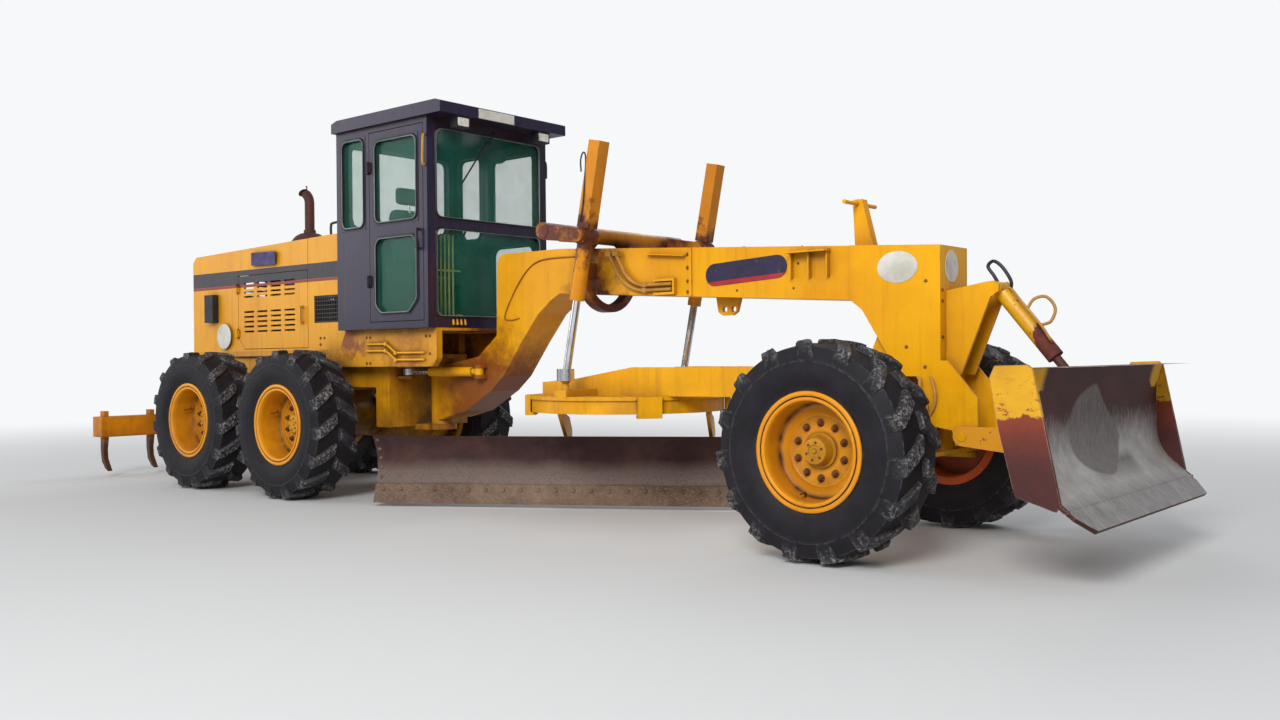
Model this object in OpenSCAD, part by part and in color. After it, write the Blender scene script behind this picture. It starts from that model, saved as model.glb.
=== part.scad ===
// Motor grader with a hinged frame, front bucket and rear ripper.
// Millimetres, +X forward, +Y to the machine's left, +Z up, ground at z = 0.
// Lengths along the machine are counted from the front axle, which lies at front_axle_x.

/* [Layout] */
// Front axle ahead of the middle of the whole length
front_axle_x = 3736.5; // [3400:0.5:4100]
// Middle of the tandem behind the frame hinge
tandem_back = 1700; // [1640:10:1800]
// Distance between the two wheels of a tandem
tandem_pitch = 1540; // [1480:10:1600]
// Middle plane of every wheel from the centre line
track_half = 945; // [940:5:960]
// Frame hinge pin behind the front axle
hinge_back = 4620; // [4590:5:4650]

/* [Tyres and rims] */
// Tyre radius to the lug tips
tyre_r = 677; // [660:1:690]
// Width of a tyre over its walls
tyre_w = 445; // [430:5:455]
// Lugs along each shoulder
lugs = 15; // [13:1:17]
// Depth of the lugs
lug_h = 32; // [20:1:40]
// Radius of the bead seat
bead_r = 318; // [310:1:325]
// Radius of the rim flanges
flange_r = 364; // [355:1:370]
// Radius of the wheel nut circle
nut_circle_r = 168; // [155:1:180]
// Wheel nuts on a rim
nuts = 10; // [8:1:12]

/* [Front frame] */
// Width of the main beam
beam_w = 340; // [320:5:360]
// Height of the main beam
beam_h = 365; // [340:5:380]
// Height of the beam's top over the front axle
beam_top = 1970; // [1950:5:1990]
// Fall of the beam towards the front
beam_fall = 3.4; // [2.8:0.1:4]
// Width of the nose
nose_w = 400; // [390:5:420]

/* [Cab] */
// Outside width of the cab
cab_w = 1420; // [1380:10:1440]
// Rear wall of the cab behind the front axle
cab_back = 5220; // [5200:5:5240]
// Front wall of the cab behind the front axle
cab_front = 3960; // [3950:5:3975]
// Underside of the cab
cab_z0 = 1520; // [1515:5:1530]
// Underside of the roof
cab_z1 = 3300; // [3260:10:3340]
// Thickness of the cab's walls and doors
cab_t = 60; // [50:2:70]
// Thickness of the window glass
glass_t = 6; // [5:1:8]
// Thickness of the roof
roof_t = 110; // [90:5:130]

/* [Hood] */
// Width of the hood
hood_w = 1000; // [960:10:1020]
// Rear end of the hood behind the front axle
hood_back = 8100; // [8060:10:8140]
// Front end of the hood behind the front axle
hood_front = 5320; // [5300:5:5340]
// Lower edge of the hood
hood_z0 = 1350; // [1345:1:1358]
// Top of the hood at its rear
hood_z1 = 2370; // [2340:5:2390]
// Thickness of the hood's panels
hood_t = 25; // [20:1:30]

/* [Blade and circle] */
// Circle centre behind the front axle
circle_back = 2370; // [2350:5:2390]
// Outer radius of the circle
circle_r = 765; // [750:5:775]
// Underside of the circle
circle_z = 830; // [820:5:840]
// Thickness of the circle
circle_t = 100; // [90:5:110]
// Angle of the blade from the machine's length
blade_angle = 29.5; // [27:0.5:32]
// Length of the blade
blade_len = 3660; // [3500:20:3700]
// Height of the moldboard
blade_h = 560; // [540:5:580]
// Blade shifted towards its rear end
blade_shift = 445; // [400:5:460]
// Plate thickness of the moldboard
blade_t = 22; // [18:1:26]
// Radius of the moldboard's hollow
blade_r = 430; // [410:5:450]

/* [Bucket] */
// Width of the front bucket over its side plates
bucket_w = 2280; // [2200:10:2340]
// Thickness of the bucket's plates
bucket_t = 22; // [18:1:26]

/* [Ripper] */
// Length of the ripper beam
ripper_w = 2240; // [2200:10:2280]
// Ripper beam behind the front axle
ripper_back = 9030; // [9010:5:9050]
// Shanks on the ripper
shanks = 5; // [3:2:5]
// Distance between shanks
shank_pitch = 520; // [500:5:530]

/* [Hidden] */
$fn = 48;

// Clearance between pieces that move past each other without touching
gap = 6;
// Clearance of faces and pins that run on each other
run = 0.3;

// Helpers
module at_axle() { translate([front_axle_x, 0, 0]) children(); }
// Side profile in X and Z, extruded over Y from y0 to y1
module side(pts, y0, y1) { translate([0, y1, 0]) rotate([90, 0, 0]) linear_extrude(y1 - y0)
    polygon(pts); }
// Box from its low to its high corner
module span(a, b) { translate(a) cube(b - a); }
// Children stand on p with their Z axis towards q
module aim(p, q) {
    d = q - p;
    translate(p) rotate([0, acos(d[2] / norm(d)), atan2(d[1], d[0])]) children();
}
// Round bar from p to q
module bar(p, q, r) { aim(p, q) cylinder(r = r, h = norm(q - p)); }
// Bore or pin along Y
module ycyl(x, z, r, y0, y1) { translate([x, y1, z]) rotate([90, 0, 0]) cylinder(r = r, h = y1 - y0); }
// Bore or pin along X
module xcyl(y, z, r, x0, x1) { translate([x0, y, z]) rotate([0, 90, 0]) cylinder(r = r, h = x1 - x0); }
// Both sides of the machine
module pair() {
    children();
    mirror([0, 1, 0]) children();
}

// Derived places, all from the front axle
lug_pitch = 360 / lugs;
wheel_z = tyre_r * cos(lug_pitch * 0.175);
tandem_x = -hinge_back - tandem_back;
wheel2_x = tandem_x + tandem_pitch / 2;
wheel3_x = tandem_x - tandem_pitch / 2;
hinge_x = -hinge_back;
rim_seat = bead_r * cos(lug_pitch * 0.175) - run;
rim_half = 165;

// Tyre: columns of a lug pitch, as shares of it
lug_steps = [0, 0.35, 0.5, 0.85];
// Rows from the inner bead to the middle: place across, radius on a lug, radius in a groove, turn
tread_rows = [
    [-rim_half, bead_r, bead_r, 0],
    [-tyre_w / 2, 470, 470, 0],
    [-200, tyre_r - 12, tyre_r - 12 - lug_h * 1.1, 0],
    [-16, tyre_r, tyre_r - lug_h, 0.5]];
module tyre() {
    n = 4 * lugs;
    rows = concat([for (r = tread_rows) concat(r, [0])],
        [for (i = [3:-1:0]) [-tread_rows[i][0], tread_rows[i][1], tread_rows[i][2], tread_rows[i][3],
            2]]);
    m = len(rows);
    pts = [for (i = [0:n - 1]) for (row = rows)
        let (k = i % 4, high = (k + row[4]) % 4 < 2,
            a = (floor(i / 4) + lug_steps[k] + row[3] - 0.675) * lug_pitch - 90,
            r = high ? row[1] : row[2])
        [r * cos(a), row[0], r * sin(a)]];
    faces = [for (i = [0:n - 1]) for (j = [0:m - 1])
        let (i2 = (i + 1) % n, j2 = (j + 1) % m)
        [i * m + j, i * m + j2, i2 * m + j2, i2 * m + j]];
    tris = [for (f = faces) each [[f[0], f[1], f[2]], [f[0], f[2], f[3]]]];
    polyhedron(points = pts, faces = tris, convexity = 6);
}

// Rim turned from a profile of radius and place across; the outside of the machine is at -Y
module rim(dish, cap_r, cap_h) {
    difference() {
        rotate([90, 0, 0]) rotate_extrude($fn = 72) polygon([
            [rim_seat, -rim_half - 0.5], [flange_r, -rim_half - 20], [flange_r, -rim_half - 32],
            [rim_seat - 18, -rim_half - 32], [rim_seat - 22, dish - 34], [230, dish - 14],
            [0, dish - 14], [0, dish + 6], [225, dish + 6], [rim_seat - 40, dish - 10],
                [rim_seat - 22, dish + 14],
            [rim_seat - 18, rim_half + 32], [flange_r, rim_half + 32], [flange_r, rim_half + 20],
            [rim_seat, rim_half + 0.5]]);
    }
    for (k = [0:nuts - 1]) rotate([0, k * 360 / nuts + 18, 0])
        translate([nut_circle_r, -dish - 3, 0]) rotate([90, 0, 0]) cylinder(r = 17, h = 29, $fn = 6);
    translate([0, -dish - 3, 0]) rotate([90, 0, 0]) cylinder(r1 = cap_r + 14, r2 = cap_r, h = cap_h);
}
rear_dish = -40;
front_dish = 30;
module wheel_place(x, left) {
    translate([x, left ? track_half : -track_half, wheel_z]) mirror([0, left ? 1 : 0, 0]) children();
}
module rear_rim(x, left) { at_axle() color("orange") wheel_place(x, left) rim(rear_dish, 70, 60); }
module front_rim(left) { at_axle() color("orange") wheel_place(0, left) rim(front_dish, 78, 80); }
module one_tyre(x, left) { at_axle() color([0.12, 0.12, 0.13]) wheel_place(x, left) tyre(); }
module rim_r1() { front_rim(false); }
module rim_l1() { front_rim(true); }
module rim_r2() { rear_rim(wheel2_x, false); }
module rim_l2() { rear_rim(wheel2_x, true); }
module rim_r3() { rear_rim(wheel3_x, false); }
module rim_l3() { rear_rim(wheel3_x, true); }
module tyre_r1() { one_tyre(0, false); }
module tyre_l1() { one_tyre(0, true); }
module tyre_r2() { one_tyre(wheel2_x, false); }
module tyre_l2() { one_tyre(wheel2_x, true); }
module tyre_r3() { one_tyre(wheel3_x, false); }
module tyre_l3() { one_tyre(wheel3_x, true); }

// Rear frame
rail_y0 = 380;
rail_y1 = 460;
rail_z0 = 1000;
rail_z1 = 1300;
fork_z0 = 660;
fork_z1 = 1210;
hinge_pin_r = 45;
cross_x = hinge_x - 180;
artic_eye = [hinge_x - 70, -330, 1140];
artic_pin = [hinge_x + 740, -215, 1140];
rear_plate_x = -hood_back - 50;
ripper_pin = [rear_plate_x - 110, 0, 750];
ripper_cyl_pin = [rear_plate_x - 80, 0, 1290];
tow_r = 26;
module fork_plate(z0, t) {
    difference() {
        union() {
            span([cross_x - 10, -170, z0], [hinge_x, 170, z0 + t]);
            translate([hinge_x, 0, z0]) cylinder(r = 130, h = t);
        }
        translate([hinge_x, 0, z0 - 1]) cylinder(r = hinge_pin_r, h = t + 2);
    }
}
module chassis() {
    at_axle() color("goldenrod") {
        pair() {
            // Rails, hood sills and rail posts under the cab
            span([-hood_back, rail_y0, rail_z0], [cross_x - 20, rail_y1, rail_z1]);
            span([-hood_back, rail_y0, rail_z1], [-hood_front, hood_w / 2, hood_z0]);
            span([-5150, rail_y0, rail_z1], [-5050, rail_y1, cab_z0 - 25]);
            span([cross_x - 120, rail_y0, rail_z1], [cross_x - 20, rail_y1, cab_z0 - 25]);
            // Side plate beside the cab's platform
            side([[-5700, 1190], [-cab_front - 60, 1190], [-cab_front, 1260], [-cab_front, cab_z0 - 25],
                [-5240, cab_z0 - 25], [-5320, cab_z0 - 170], [-5700, cab_z0 - 170]], 560, 620);
            span([-5690, rail_y1, 1200], [-5600, 560, 1290]);
            // Ears of the ripper hinge
            difference() {
                side([[rear_plate_x - 24, 640], [rear_plate_x - 170, 690], [rear_plate_x - 170, 810],
                    [rear_plate_x - 24, 1000]], 470, 500);
                ycyl(ripper_pin[0], ripper_pin[2], 30 + run, 460, 510);
            }
            // Ears of the ripper cylinder
            difference() {
                side([[rear_plate_x - 24, 1180], [rear_plate_x - 130, 1240], [rear_plate_x - 130, 1340],
                    [rear_plate_x - 24, 1350], [rear_plate_x + 30, 1350],
                        [rear_plate_x + 30, 1290]], 50, 75);
                ycyl(ripper_cyl_pin[0], ripper_cyl_pin[2], 25, 40, 80);
            }
            // Ears of the frame cylinders
            for (z = [artic_eye[2] - 62, artic_eye[2] + 36]) difference() {
                union() {
                    span([cross_x - 5, -artic_eye[1] - 50, z],
                        [artic_eye[0], -artic_eye[1] + 50, z + 26]);
                    translate([artic_eye[0], -artic_eye[1], z]) cylinder(r = 50, h = 26);
                }
            }
            translate([artic_eye[0], -artic_eye[1], artic_eye[2] - 62]) cylinder(r = 18, h = 124);
        }
        // Platform and crossmembers
        span([-5240, -620, cab_z0 - 25], [-cab_front, 620, cab_z0]);
        span([cross_x - 200, -rail_y1, 640], [cross_x, rail_y1, rail_z1]);
        span([-7400, -rail_y0, 950], [-7280, rail_y0, rail_z0]);
        span([-6150, -rail_y0, 950], [-6030, rail_y0, rail_z0]);
        pair() for (x = [-7400, -6150]) span([x, rail_y0, 950], [x + 120, rail_y1, rail_z0]);
        span([rear_plate_x - 25, -hood_w / 2, 620], [-hood_back, hood_w / 2, hood_z0]);
        // Fork and pin of the frame hinge
        fork_plate(fork_z1 + run, 50);
        fork_plate(fork_z0 - run - 50, 50);
        translate([hinge_x, 0, fork_z0 - 60]) cylinder(r = hinge_pin_r, h = fork_z1 - fork_z0 + 120);
        // Tow clevis
        for (z = [655, 735]) difference() {
            span([rear_plate_x - 150, -60, z], [rear_plate_x - 20, 60, z + 25]);
            translate([rear_plate_x - 100, 0, z - 1]) cylinder(r = tow_r, h = 27);
        }
        // Pin of the ripper cylinder
        ycyl(ripper_cyl_pin[0], ripper_cyl_pin[2], 25, -75, 75);
    }
}
module engine_block() {
    at_axle() color("dimgray")
        span([-hood_back + 650, -rail_y0 + 10, rail_z0],
            [-hood_front - 680, rail_y0 - 10, hood_z0 + 500]);
}

// Hood
door_z0 = hood_z0 + 22;
door_z1 = 2130;
edoor_x0 = -7220;
edoor_x1 = -5990;
hood_line = [[-hood_front, hood_z1 + 70], [-5600, hood_z1 + 70], [-7000, hood_z1 + 30],
    [-hood_back + 60, hood_z1]];
function hood_top(x) = lookup(x, [for (p = hood_line) p]);
module hood_profile(d, low) {
    polygon(concat([for (p = hood_line) [min(p[0], -hood_front - d), p[1] - d]],
        [[-hood_back + d, hood_z1 - 60 - d / 2], [-hood_back + d, low], [-hood_front - d, low]]));
}
module on_side(y0, y1) { translate([0, y1, 0]) rotate([90, 0, 0]) linear_extrude(y1 - y0) children(); }
module hood() {
    at_axle() color("gold") difference() {
        on_side(-hood_w / 2, hood_w / 2) hood_profile(0, hood_z0);
        on_side(-hood_w / 2 + hood_t, hood_w / 2 - hood_t) hood_profile(hood_t, hood_z0 - 1);
        // Engine door openings and side grilles
        pair() {
            side([[edoor_x0 + 120, door_z0], [edoor_x1, door_z0], [edoor_x1, door_z1],
                [edoor_x0, door_z1],
                [edoor_x0, door_z0 + 120]], hood_w / 2 - hood_t - 5, hood_w / 2 + 5);
            span([-5890, hood_w / 2 - hood_t - 5, 1610], [-5490, hood_w / 2 + 5, 1870]);
        }
        // Radiator opening
        span([-hood_back - 5, -400, 1450], [-hood_back + hood_t + 5, 400, 2250]);
    }
    at_axle() color("gold") pair() for (z = [1500, 1960]) hinge_ears(edoor_x0, hood_w / 2, z, 70);
}
// Hinge on a wall whose outside is at y; the pin stands 18 mm out
hinge_out = 18;
module hinge_ears(x, y, z, h) {
    for (k = [-14, h + run * 2]) translate([0, 0, z + k]) {
        translate([x, y + hinge_out, 0]) cylinder(r = 12, h = 14 - run);
        span([x - 20, y, 0], [x - 2, y + hinge_out, 14 - run]);
    }
    translate([x, y + hinge_out, z - 14]) cylinder(r = 7, h = h + 28);
}
module hinge_knuckle(x, y, z, h) {
    difference() {
        union() {
            translate([x, y + hinge_out, z]) cylinder(r = 14, h = h);
            span([x, y, z], [x + 30, y + hinge_out - 4, z + h]);
        }
        translate([x, y + hinge_out, z - 1]) cylinder(r = 7 + run, h = h + 2);
    }
}
module engine_door() {
    w = edoor_x1 - edoor_x0;
    difference() {
        side([[edoor_x0 + 120, door_z0 + gap], [edoor_x1 - gap, door_z0 + gap],
            [edoor_x1 - gap, door_z1 - gap],
            [edoor_x0 + gap, door_z1 - gap], [edoor_x0 + gap, door_z0 + 120 + gap]],
            hood_w / 2 - hood_t, hood_w / 2);
        // Louvres in two groups of four columns
        for (c = [0:3]) for (r = [0:3]) louvre(edoor_x0 + 110 + c * 240, 1900 + r * 45);
        for (c = [0:3]) for (r = [0:4]) louvre(edoor_x0 + 110 + c * 240, 1545 + r * 50);
    }
    for (z = [1500, 1960]) hinge_knuckle(edoor_x0, hood_w / 2, z, 70);
    // Handle
    for (z = [1610, 1760]) span([edoor_x1 - 90, hood_w / 2, z],
        [edoor_x1 - 70, hood_w / 2 + 40, z + 20]);
    span([edoor_x1 - 90, hood_w / 2 + 30, 1610], [edoor_x1 - 70, hood_w / 2 + 45, 1780]);
}
module louvre(x, z) { span([x, hood_w / 2 - hood_t - 5, z], [x + 180, hood_w / 2 + 5, z + 18]); }
module engine_door_left() { at_axle() color("gold") engine_door(); }
module engine_door_right() { at_axle() color("gold") mirror([0, 1, 0]) engine_door(); }
module radiator_grille() {
    at_axle() color("dimgray") {
        difference() {
            span([-hood_back, -400 + run, 1450 + run], [-hood_back + 20, 400 - run, 2250 - run]);
            for (k = [0:11]) span([-hood_back - 1, -370, 1480 + k * 63],
                [-hood_back + 21, 370, 1520 + k * 63]);
        }
        pair() difference() {
            span([-5890 + run, hood_w / 2 - 15, 1610 + run], [-5490 - run, hood_w / 2 - 5, 1870 - run]);
            for (i = [0:9]) for (j = [0:5]) span([-5876 + i * 38, hood_w / 2 - 16, 1626 + j * 39],
                [-5848 + i * 38, hood_w / 2 - 4, 1655 + j * 39]);
        }
    }
}
exhaust_x = -6460;
exhaust_y = -150;
module exhaust() {
    z = hood_top(exhaust_x - 180) + 2;
    at_axle() color("saddlebrown") translate([exhaust_x, exhaust_y, 0]) {
        translate([0, 0, hood_top(exhaust_x + 180) + run]) rotate_extrude()
            polygon([[0, 0], [175, 0], [185, 14], [178, 40], [140, 85], [95, 112], [60, 120],
                [60, 150], [0, 150]]);
        translate([0, 0, z + 130]) difference() {
            cylinder(r = 48, h = 300);
            translate([0, 0, 60]) cylinder(r = 43, h = 300);
        }
        translate([-110, 0, z + 430]) rotate([90, 0, 0]) rotate_extrude(angle = 60)
            translate([110, 0]) difference() {
                circle(r = 48);
                circle(r = 43);
            }
    }
}
module lamps() {
    at_axle() {
        // Rear lamp boxes on the hood's corners
        color("black") pair() difference() {
            span([-7760, hood_w / 2, 1660], [-7600, hood_w / 2 + 70, 1950]);
            span([-7761, hood_w / 2 + 12, 1690], [-7740, hood_w / 2 + 58, 1800]);
            span([-7761, hood_w / 2 + 12, 1815], [-7740, hood_w / 2 + 58, 1925]);
        }
        // Work lamps under the visor
        color("black") for (y = [-480, 480]) difference() {
            span([visor_x - 95, y - 75, cab_z1 - 100], [visor_x - 15, y + 75, cab_z1 - run]);
            span([visor_x - 22, y - 62, cab_z1 - 88], [visor_x - 10, y + 62, cab_z1 - 15]);
        }
    }
}

// Drive
module tandem_drive() {
    at_axle() color("goldenrod") {
        pair() {
            on_side(505, 690) {
                for (x = [wheel2_x, wheel3_x]) translate([x, wheel_z]) circle(r = 245);
                translate([wheel3_x, wheel_z - 215]) square([tandem_pitch, 430]);
            }
            for (x = [wheel2_x, wheel3_x]) {
                ycyl(x, wheel_z, 115, 689, track_half - rear_dish_back - run);
                ycyl(x, wheel_z, 170, track_half - rear_dish_back - 50,
                    track_half - rear_dish_back - run);
            }
            ycyl(tandem_x, wheel_z + 20, 165, 0, 506);
            ycyl(tandem_x, wheel_z + 20, 210, 440, 506);
        }
        translate([tandem_x, 0, wheel_z + 20]) sphere(r = 250);
        span([tandem_x - 120, -200, wheel_z + 120], [tandem_x + 120, 200, 950]);
        pair() span([tandem_x - 90, 200, 780], [tandem_x + 90, rail_y1, rail_z0]);
    }
}
rear_dish_back = -rear_dish + 14;

// Cab
cab_y = cab_w / 2;
visor_x = -cab_front + 220;
cdoor_x0 = -4745;
cdoor_x1 = -4010;
cdoor_z0 = cab_z0 + 60;
cdoor_z1 = cab_z1 - 50;
sill_z = 2410;
// Window openings: low x or y, high x or y, low z, high z
front_upper = [-cab_y + 75, cab_y - 75, sill_z + 30, cab_z1 - 70];
front_lower = [-cab_y + 75, cab_y - 75, cab_z0 + 80, sill_z - 30];
rear_window = [-cab_y + 120, cab_y - 120, hood_z1 + 90, cab_z1 - 90];
side_window = [-cab_back + 70, cdoor_x0 - 55, sill_z, cab_z1 - 70];
module window(w, d) { span([w[0] + d, -1, w[2] + d], [w[1] - d, 1, w[3] - d]); }
module cab_frame() {
    at_axle() color("midnightblue") difference() {
        span([-cab_back, -cab_y, cab_z0], [-cab_front, cab_y, cab_z1]);
        span([-cab_back + cab_t, -cab_y + cab_t, cab_z0 + cab_t],
            [-cab_front - cab_t, cab_y - cab_t, cab_z1 + 1]);
        for (w = [front_upper, front_lower])
            span([-cab_front - cab_t - 1, w[0], w[2]], [-cab_front + 1, w[1], w[3]]);
        span([-cab_back - 1, rear_window[0], rear_window[2]],
            [-cab_back + cab_t + 1, rear_window[1], rear_window[3]]);
        pair() {
            span([side_window[0], cab_y - cab_t - 1, side_window[2]],
                [side_window[1], cab_y + 1, side_window[3]]);
            span([cdoor_x0, cab_y - cab_t - 1, cdoor_z0], [cdoor_x1, cab_y + 1, cdoor_z1]);
        }
    }
    at_axle() color("midnightblue") pair() for (z = [1900, 2900]) hinge_ears(cdoor_x0, cab_y, z, 80);
}
module cab_glass() {
    at_axle() color([0.55, 0.75, 0.68, 0.4]) {
        for (w = [front_upper, front_lower])
            span([-cab_front - 30, w[0] + run, w[2] + run],
                [-cab_front - 30 + glass_t, w[1] - run, w[3] - run]);
        span([-cab_back + 30, rear_window[0] + run, rear_window[2] + run],
            [-cab_back + 30 + glass_t, rear_window[1] - run, rear_window[3] - run]);
        pair() span([side_window[0] + run, cab_y - 30, side_window[2] + run],
            [side_window[1] - run, cab_y - 30 + glass_t, side_window[3] - run]);
    }
}
module cab_roof() {
    at_axle() color("midnightblue") side([[-cab_back - 20, cab_z1],
        [-cab_back - 20, cab_z1 + roof_t - 25],
        [-cab_back + 60, cab_z1 + roof_t], [visor_x - 60, cab_z1 + roof_t],
            [visor_x, cab_z1 + roof_t - 20],
        [visor_x, cab_z1]], -cab_y - 40, cab_y + 40);
}
// Door panel on the left: upper window with square corners, lower one with cut corners
dw_x0 = cdoor_x0 + gap + 60;
dw_x1 = cdoor_x1 - gap - 60;
module lower_light(d) {
    polygon([[dw_x0 + d, 1720 + d * 0.4], [dw_x0 + 90 + d * 0.4, 1640 + d],
        [dw_x1 - 120 - d * 0.4, 1640 + d],
        [dw_x1 - d, 1760 + d * 0.4], [dw_x1 - d, 2260 - d * 0.4], [dw_x1 - 60 - d * 0.4, 2330 - d],
        [dw_x0 + 60 + d * 0.4, 2330 - d], [dw_x0 + d, 2270 - d * 0.4]]);
}
module cab_door() {
    difference() {
        span([cdoor_x0 + gap, cab_y - cab_t, cdoor_z0 + gap], [cdoor_x1 - gap, cab_y, cdoor_z1 - gap]);
        span([dw_x0, cab_y - cab_t - 1, sill_z + 20], [dw_x1, cab_y + 1, cdoor_z1 - 70]);
        on_side(cab_y - cab_t - 1, cab_y + 1) lower_light(0);
    }
    for (z = [1900, 2900]) hinge_knuckle(cdoor_x0, cab_y, z, 80);
    // Grab handle
    span([cdoor_x1 - 60, cab_y, 2180], [cdoor_x1 - 40, cab_y + 40, 2200]);
    span([cdoor_x1 - 60, cab_y, 2340], [cdoor_x1 - 40, cab_y + 40, 2360]);
    span([cdoor_x1 - 60, cab_y + 30, 2180], [cdoor_x1 - 40, cab_y + 45, 2360]);
}
module door_glass() {
    span([dw_x0 + run, cab_y - 30, sill_z + 20 + run],
        [dw_x1 - run, cab_y - 30 + glass_t, cdoor_z1 - 70 - run]);
    on_side(cab_y - 30, cab_y - 30 + glass_t) lower_light(run);
}
module door_left() { at_axle() color("midnightblue") cab_door(); }
module door_right() { at_axle() color("midnightblue") mirror([0, 1, 0]) cab_door(); }
module door_left_glass() { at_axle() color([0.55, 0.75, 0.68, 0.4]) door_glass(); }
module door_right_glass() { at_axle() color([0.55, 0.75, 0.68, 0.4]) mirror([0, 1, 0]) door_glass(); }
floor_z = cab_z0 + cab_t;
module seat() {
    at_axle() color("dimgray") translate([420 - cab_back, 0, floor_z]) {
        translate([-150, -130, 0]) cube([300, 260, 330]);
        translate([-240, -250, 330]) cube([500, 500, 110]);
        side([[-270, 420], [-170, 440], [-250, 1080], [-330, 1080]], -230, 230);
        side([[-290, 1080], [-268, 1080], [-272, 1130], [-294, 1130]], -60, 60);
        side([[-330, 1130], [-235, 1130], [-245, 1290], [-335, 1290]], -140, 140);
    }
}
module controls() {
    at_axle() color([0.2, 0.2, 0.22]) {
        // Pedestal, column and steering wheel
        side([[-4160, floor_z], [-4060, floor_z], [-4130, 2150], [-4230, 2150]], -160, 160);
        bar([-4190, 0, 2130], [-4330, 0, 2330], 22);
        aim([-4330, 0, 2330], [-4470, 0, 2530]) {
            rotate_extrude() translate([190, 0]) circle(r = 14, $fn = 24);
            for (a = [40, 160, 280]) rotate([0, 90, a]) cylinder(r = 10, h = 186, $fn = 24);
            translate([0, 0, -25]) cylinder(r = 40, h = 40);
        }
        // Blade levers on both sides of the column
        for (k = [0:3]) pair()
            side([[-4166, 2140], [-4152, 2140], [-4207, 2290],
                [-4221, 2290]], 41 + k * 30, 51 + k * 30);
        // Side pods with an arm rest
        pair() span([-4900, 330, floor_z], [-4500, 420, 2120]);
    }
}
// Two pressed tubes along the right side of the platform
tube_bends = [[-4900, 1330], [-4620, 1330], [-4480, 1250], [-4100, 1250]];
module tube_run(dz) {
    y = -640;
    for (i = [0:2])
        bar([tube_bends[i][0], y, tube_bends[i][1] + dz],
            [tube_bends[i + 1][0], y, tube_bends[i + 1][1] + dz], 10);
    for (i = [1, 2])
        span([tube_bends[i][0] - 15, y - 15, tube_bends[i][1] + dz - 15],
            [tube_bends[i][0] + 15, y + 15, tube_bends[i][1] + dz + 15]);
    // Clips that hold the tube on the side plate
    for (p = [[-4850, 1330], [-4250, 1250]])
        span([p[0], y, p[1] + dz - 6], [p[0] + 30, -620, p[1] + dz + 6]);
}
module hydraulic_lines() { at_axle() color("goldenrod") for (dz = [0, 60]) tube_run(dz); }

// Ripper
ripper_eye = [rear_plate_x - 700, 0, 740];
beam_x = -ripper_back;
module shank() {
    side([[beam_x - 45, 720], [beam_x + 45, 720], [beam_x + 45, 420], [beam_x + 20, 300],
        [beam_x + 30, 200],
        [beam_x + 120, 70], [beam_x + 60, 95], [beam_x - 20, 170], [beam_x - 45, 300]], -25, 25);
}
module ripper() {
    at_axle() color("gold") difference() {
        union() {
            span([beam_x - 100, -ripper_w / 2, 440], [beam_x + 100, ripper_w / 2, 660]);
            pair() {
                side([[ripper_pin[0] + 55, 700], [ripper_pin[0] + 60, 790], [ripper_pin[0], 815],
                    [beam_x + 60, 660], [beam_x + 60, 470], [beam_x + 200, 470],
                        [ripper_pin[0] - 40, 690]], 430, 470 - run);
                ycyl(ripper_pin[0], ripper_pin[2], 30, 429, 500);
            }
            // Ears of the cylinder's rod
            pair() side([[beam_x - 40, 650], [beam_x + 99, 640], [ripper_eye[0] + 60, 700],
                [ripper_eye[0] + 60, 790],
                [ripper_eye[0] - 40, 800]], 48, 73);
            for (k = [0:shanks - 1]) translate([0, (k - (shanks - 1) / 2) * shank_pitch, 0]) shank();
        }
    }
    at_axle() color("gold") ycyl(ripper_eye[0], ripper_eye[2], 18, -73, 73);
}
module tube_barrel(p, q, from, to, ro, ri) {
    aim(p, q) difference() {
        translate([0, 0, from]) cylinder(r = ro, h = to - from);
        translate([0, 0, from + 25]) cylinder(r = ri + run, h = to - from);
    }
}
module ripper_barrel() {
    at_axle() color("gold") {
        tube_barrel(ripper_cyl_pin, ripper_eye, 40, 560, 50, 25);
        difference() {
            union() {
                ycyl(ripper_cyl_pin[0], ripper_cyl_pin[2], 44, -48, 48);
                aim(ripper_cyl_pin, ripper_eye) cylinder(r = 30, h = 45);
            }
            ycyl(ripper_cyl_pin[0], ripper_cyl_pin[2], 25 + run, -60, 60);
        }
    }
}
module rod_eye(p, q, r_rod, inside, r_in, r_out, w) {
    l = norm(q - p);
    aim(p, q) translate([0, 0, inside]) cylinder(r = r_rod, h = l - inside - r_in - 4);
    difference() {
        ycyl(q[0], q[2], r_out, q[1] - w / 2, q[1] + w / 2);
        ycyl(q[0], q[2], r_in, q[1] - w, q[1] + w);
    }
}
module ripper_rod() { at_axle() color("silver")
    rod_eye(ripper_cyl_pin, ripper_eye, 25, 300, 28, 44, 80); }

// Frame cylinders
module frame_barrel() {
    tube_barrel(artic_pin, artic_eye, 72, 560, 42, 24);
    difference() {
        union() {
            translate(artic_pin - [0, 0, 30]) cylinder(r = 42, h = 60);
            aim(artic_pin, artic_eye) cylinder(r = 28, h = 80);
        }
        translate(artic_pin - [0, 0, 40]) cylinder(r = 20 + run, h = 80);
    }
}
module frame_rod() {
    l = norm(artic_eye - artic_pin);
    aim(artic_pin, artic_eye) translate([0, 0, 240]) cylinder(r = 24, h = l - 240 - 38);
    difference() {
        translate(artic_eye - [0, 0, 28]) cylinder(r = 52, h = 56);
        translate(artic_eye - [0, 0, 30]) cylinder(r = 36, h = 60);
    }
}
module frame_barrel_right() { at_axle() color("gold") frame_barrel(); }
module frame_barrel_left() { at_axle() color("gold") mirror([0, 1, 0]) frame_barrel(); }
module frame_rod_right() { at_axle() color("silver") frame_rod(); }
module frame_rod_left() { at_axle() color("silver") mirror([0, 1, 0]) frame_rod(); }

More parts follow.
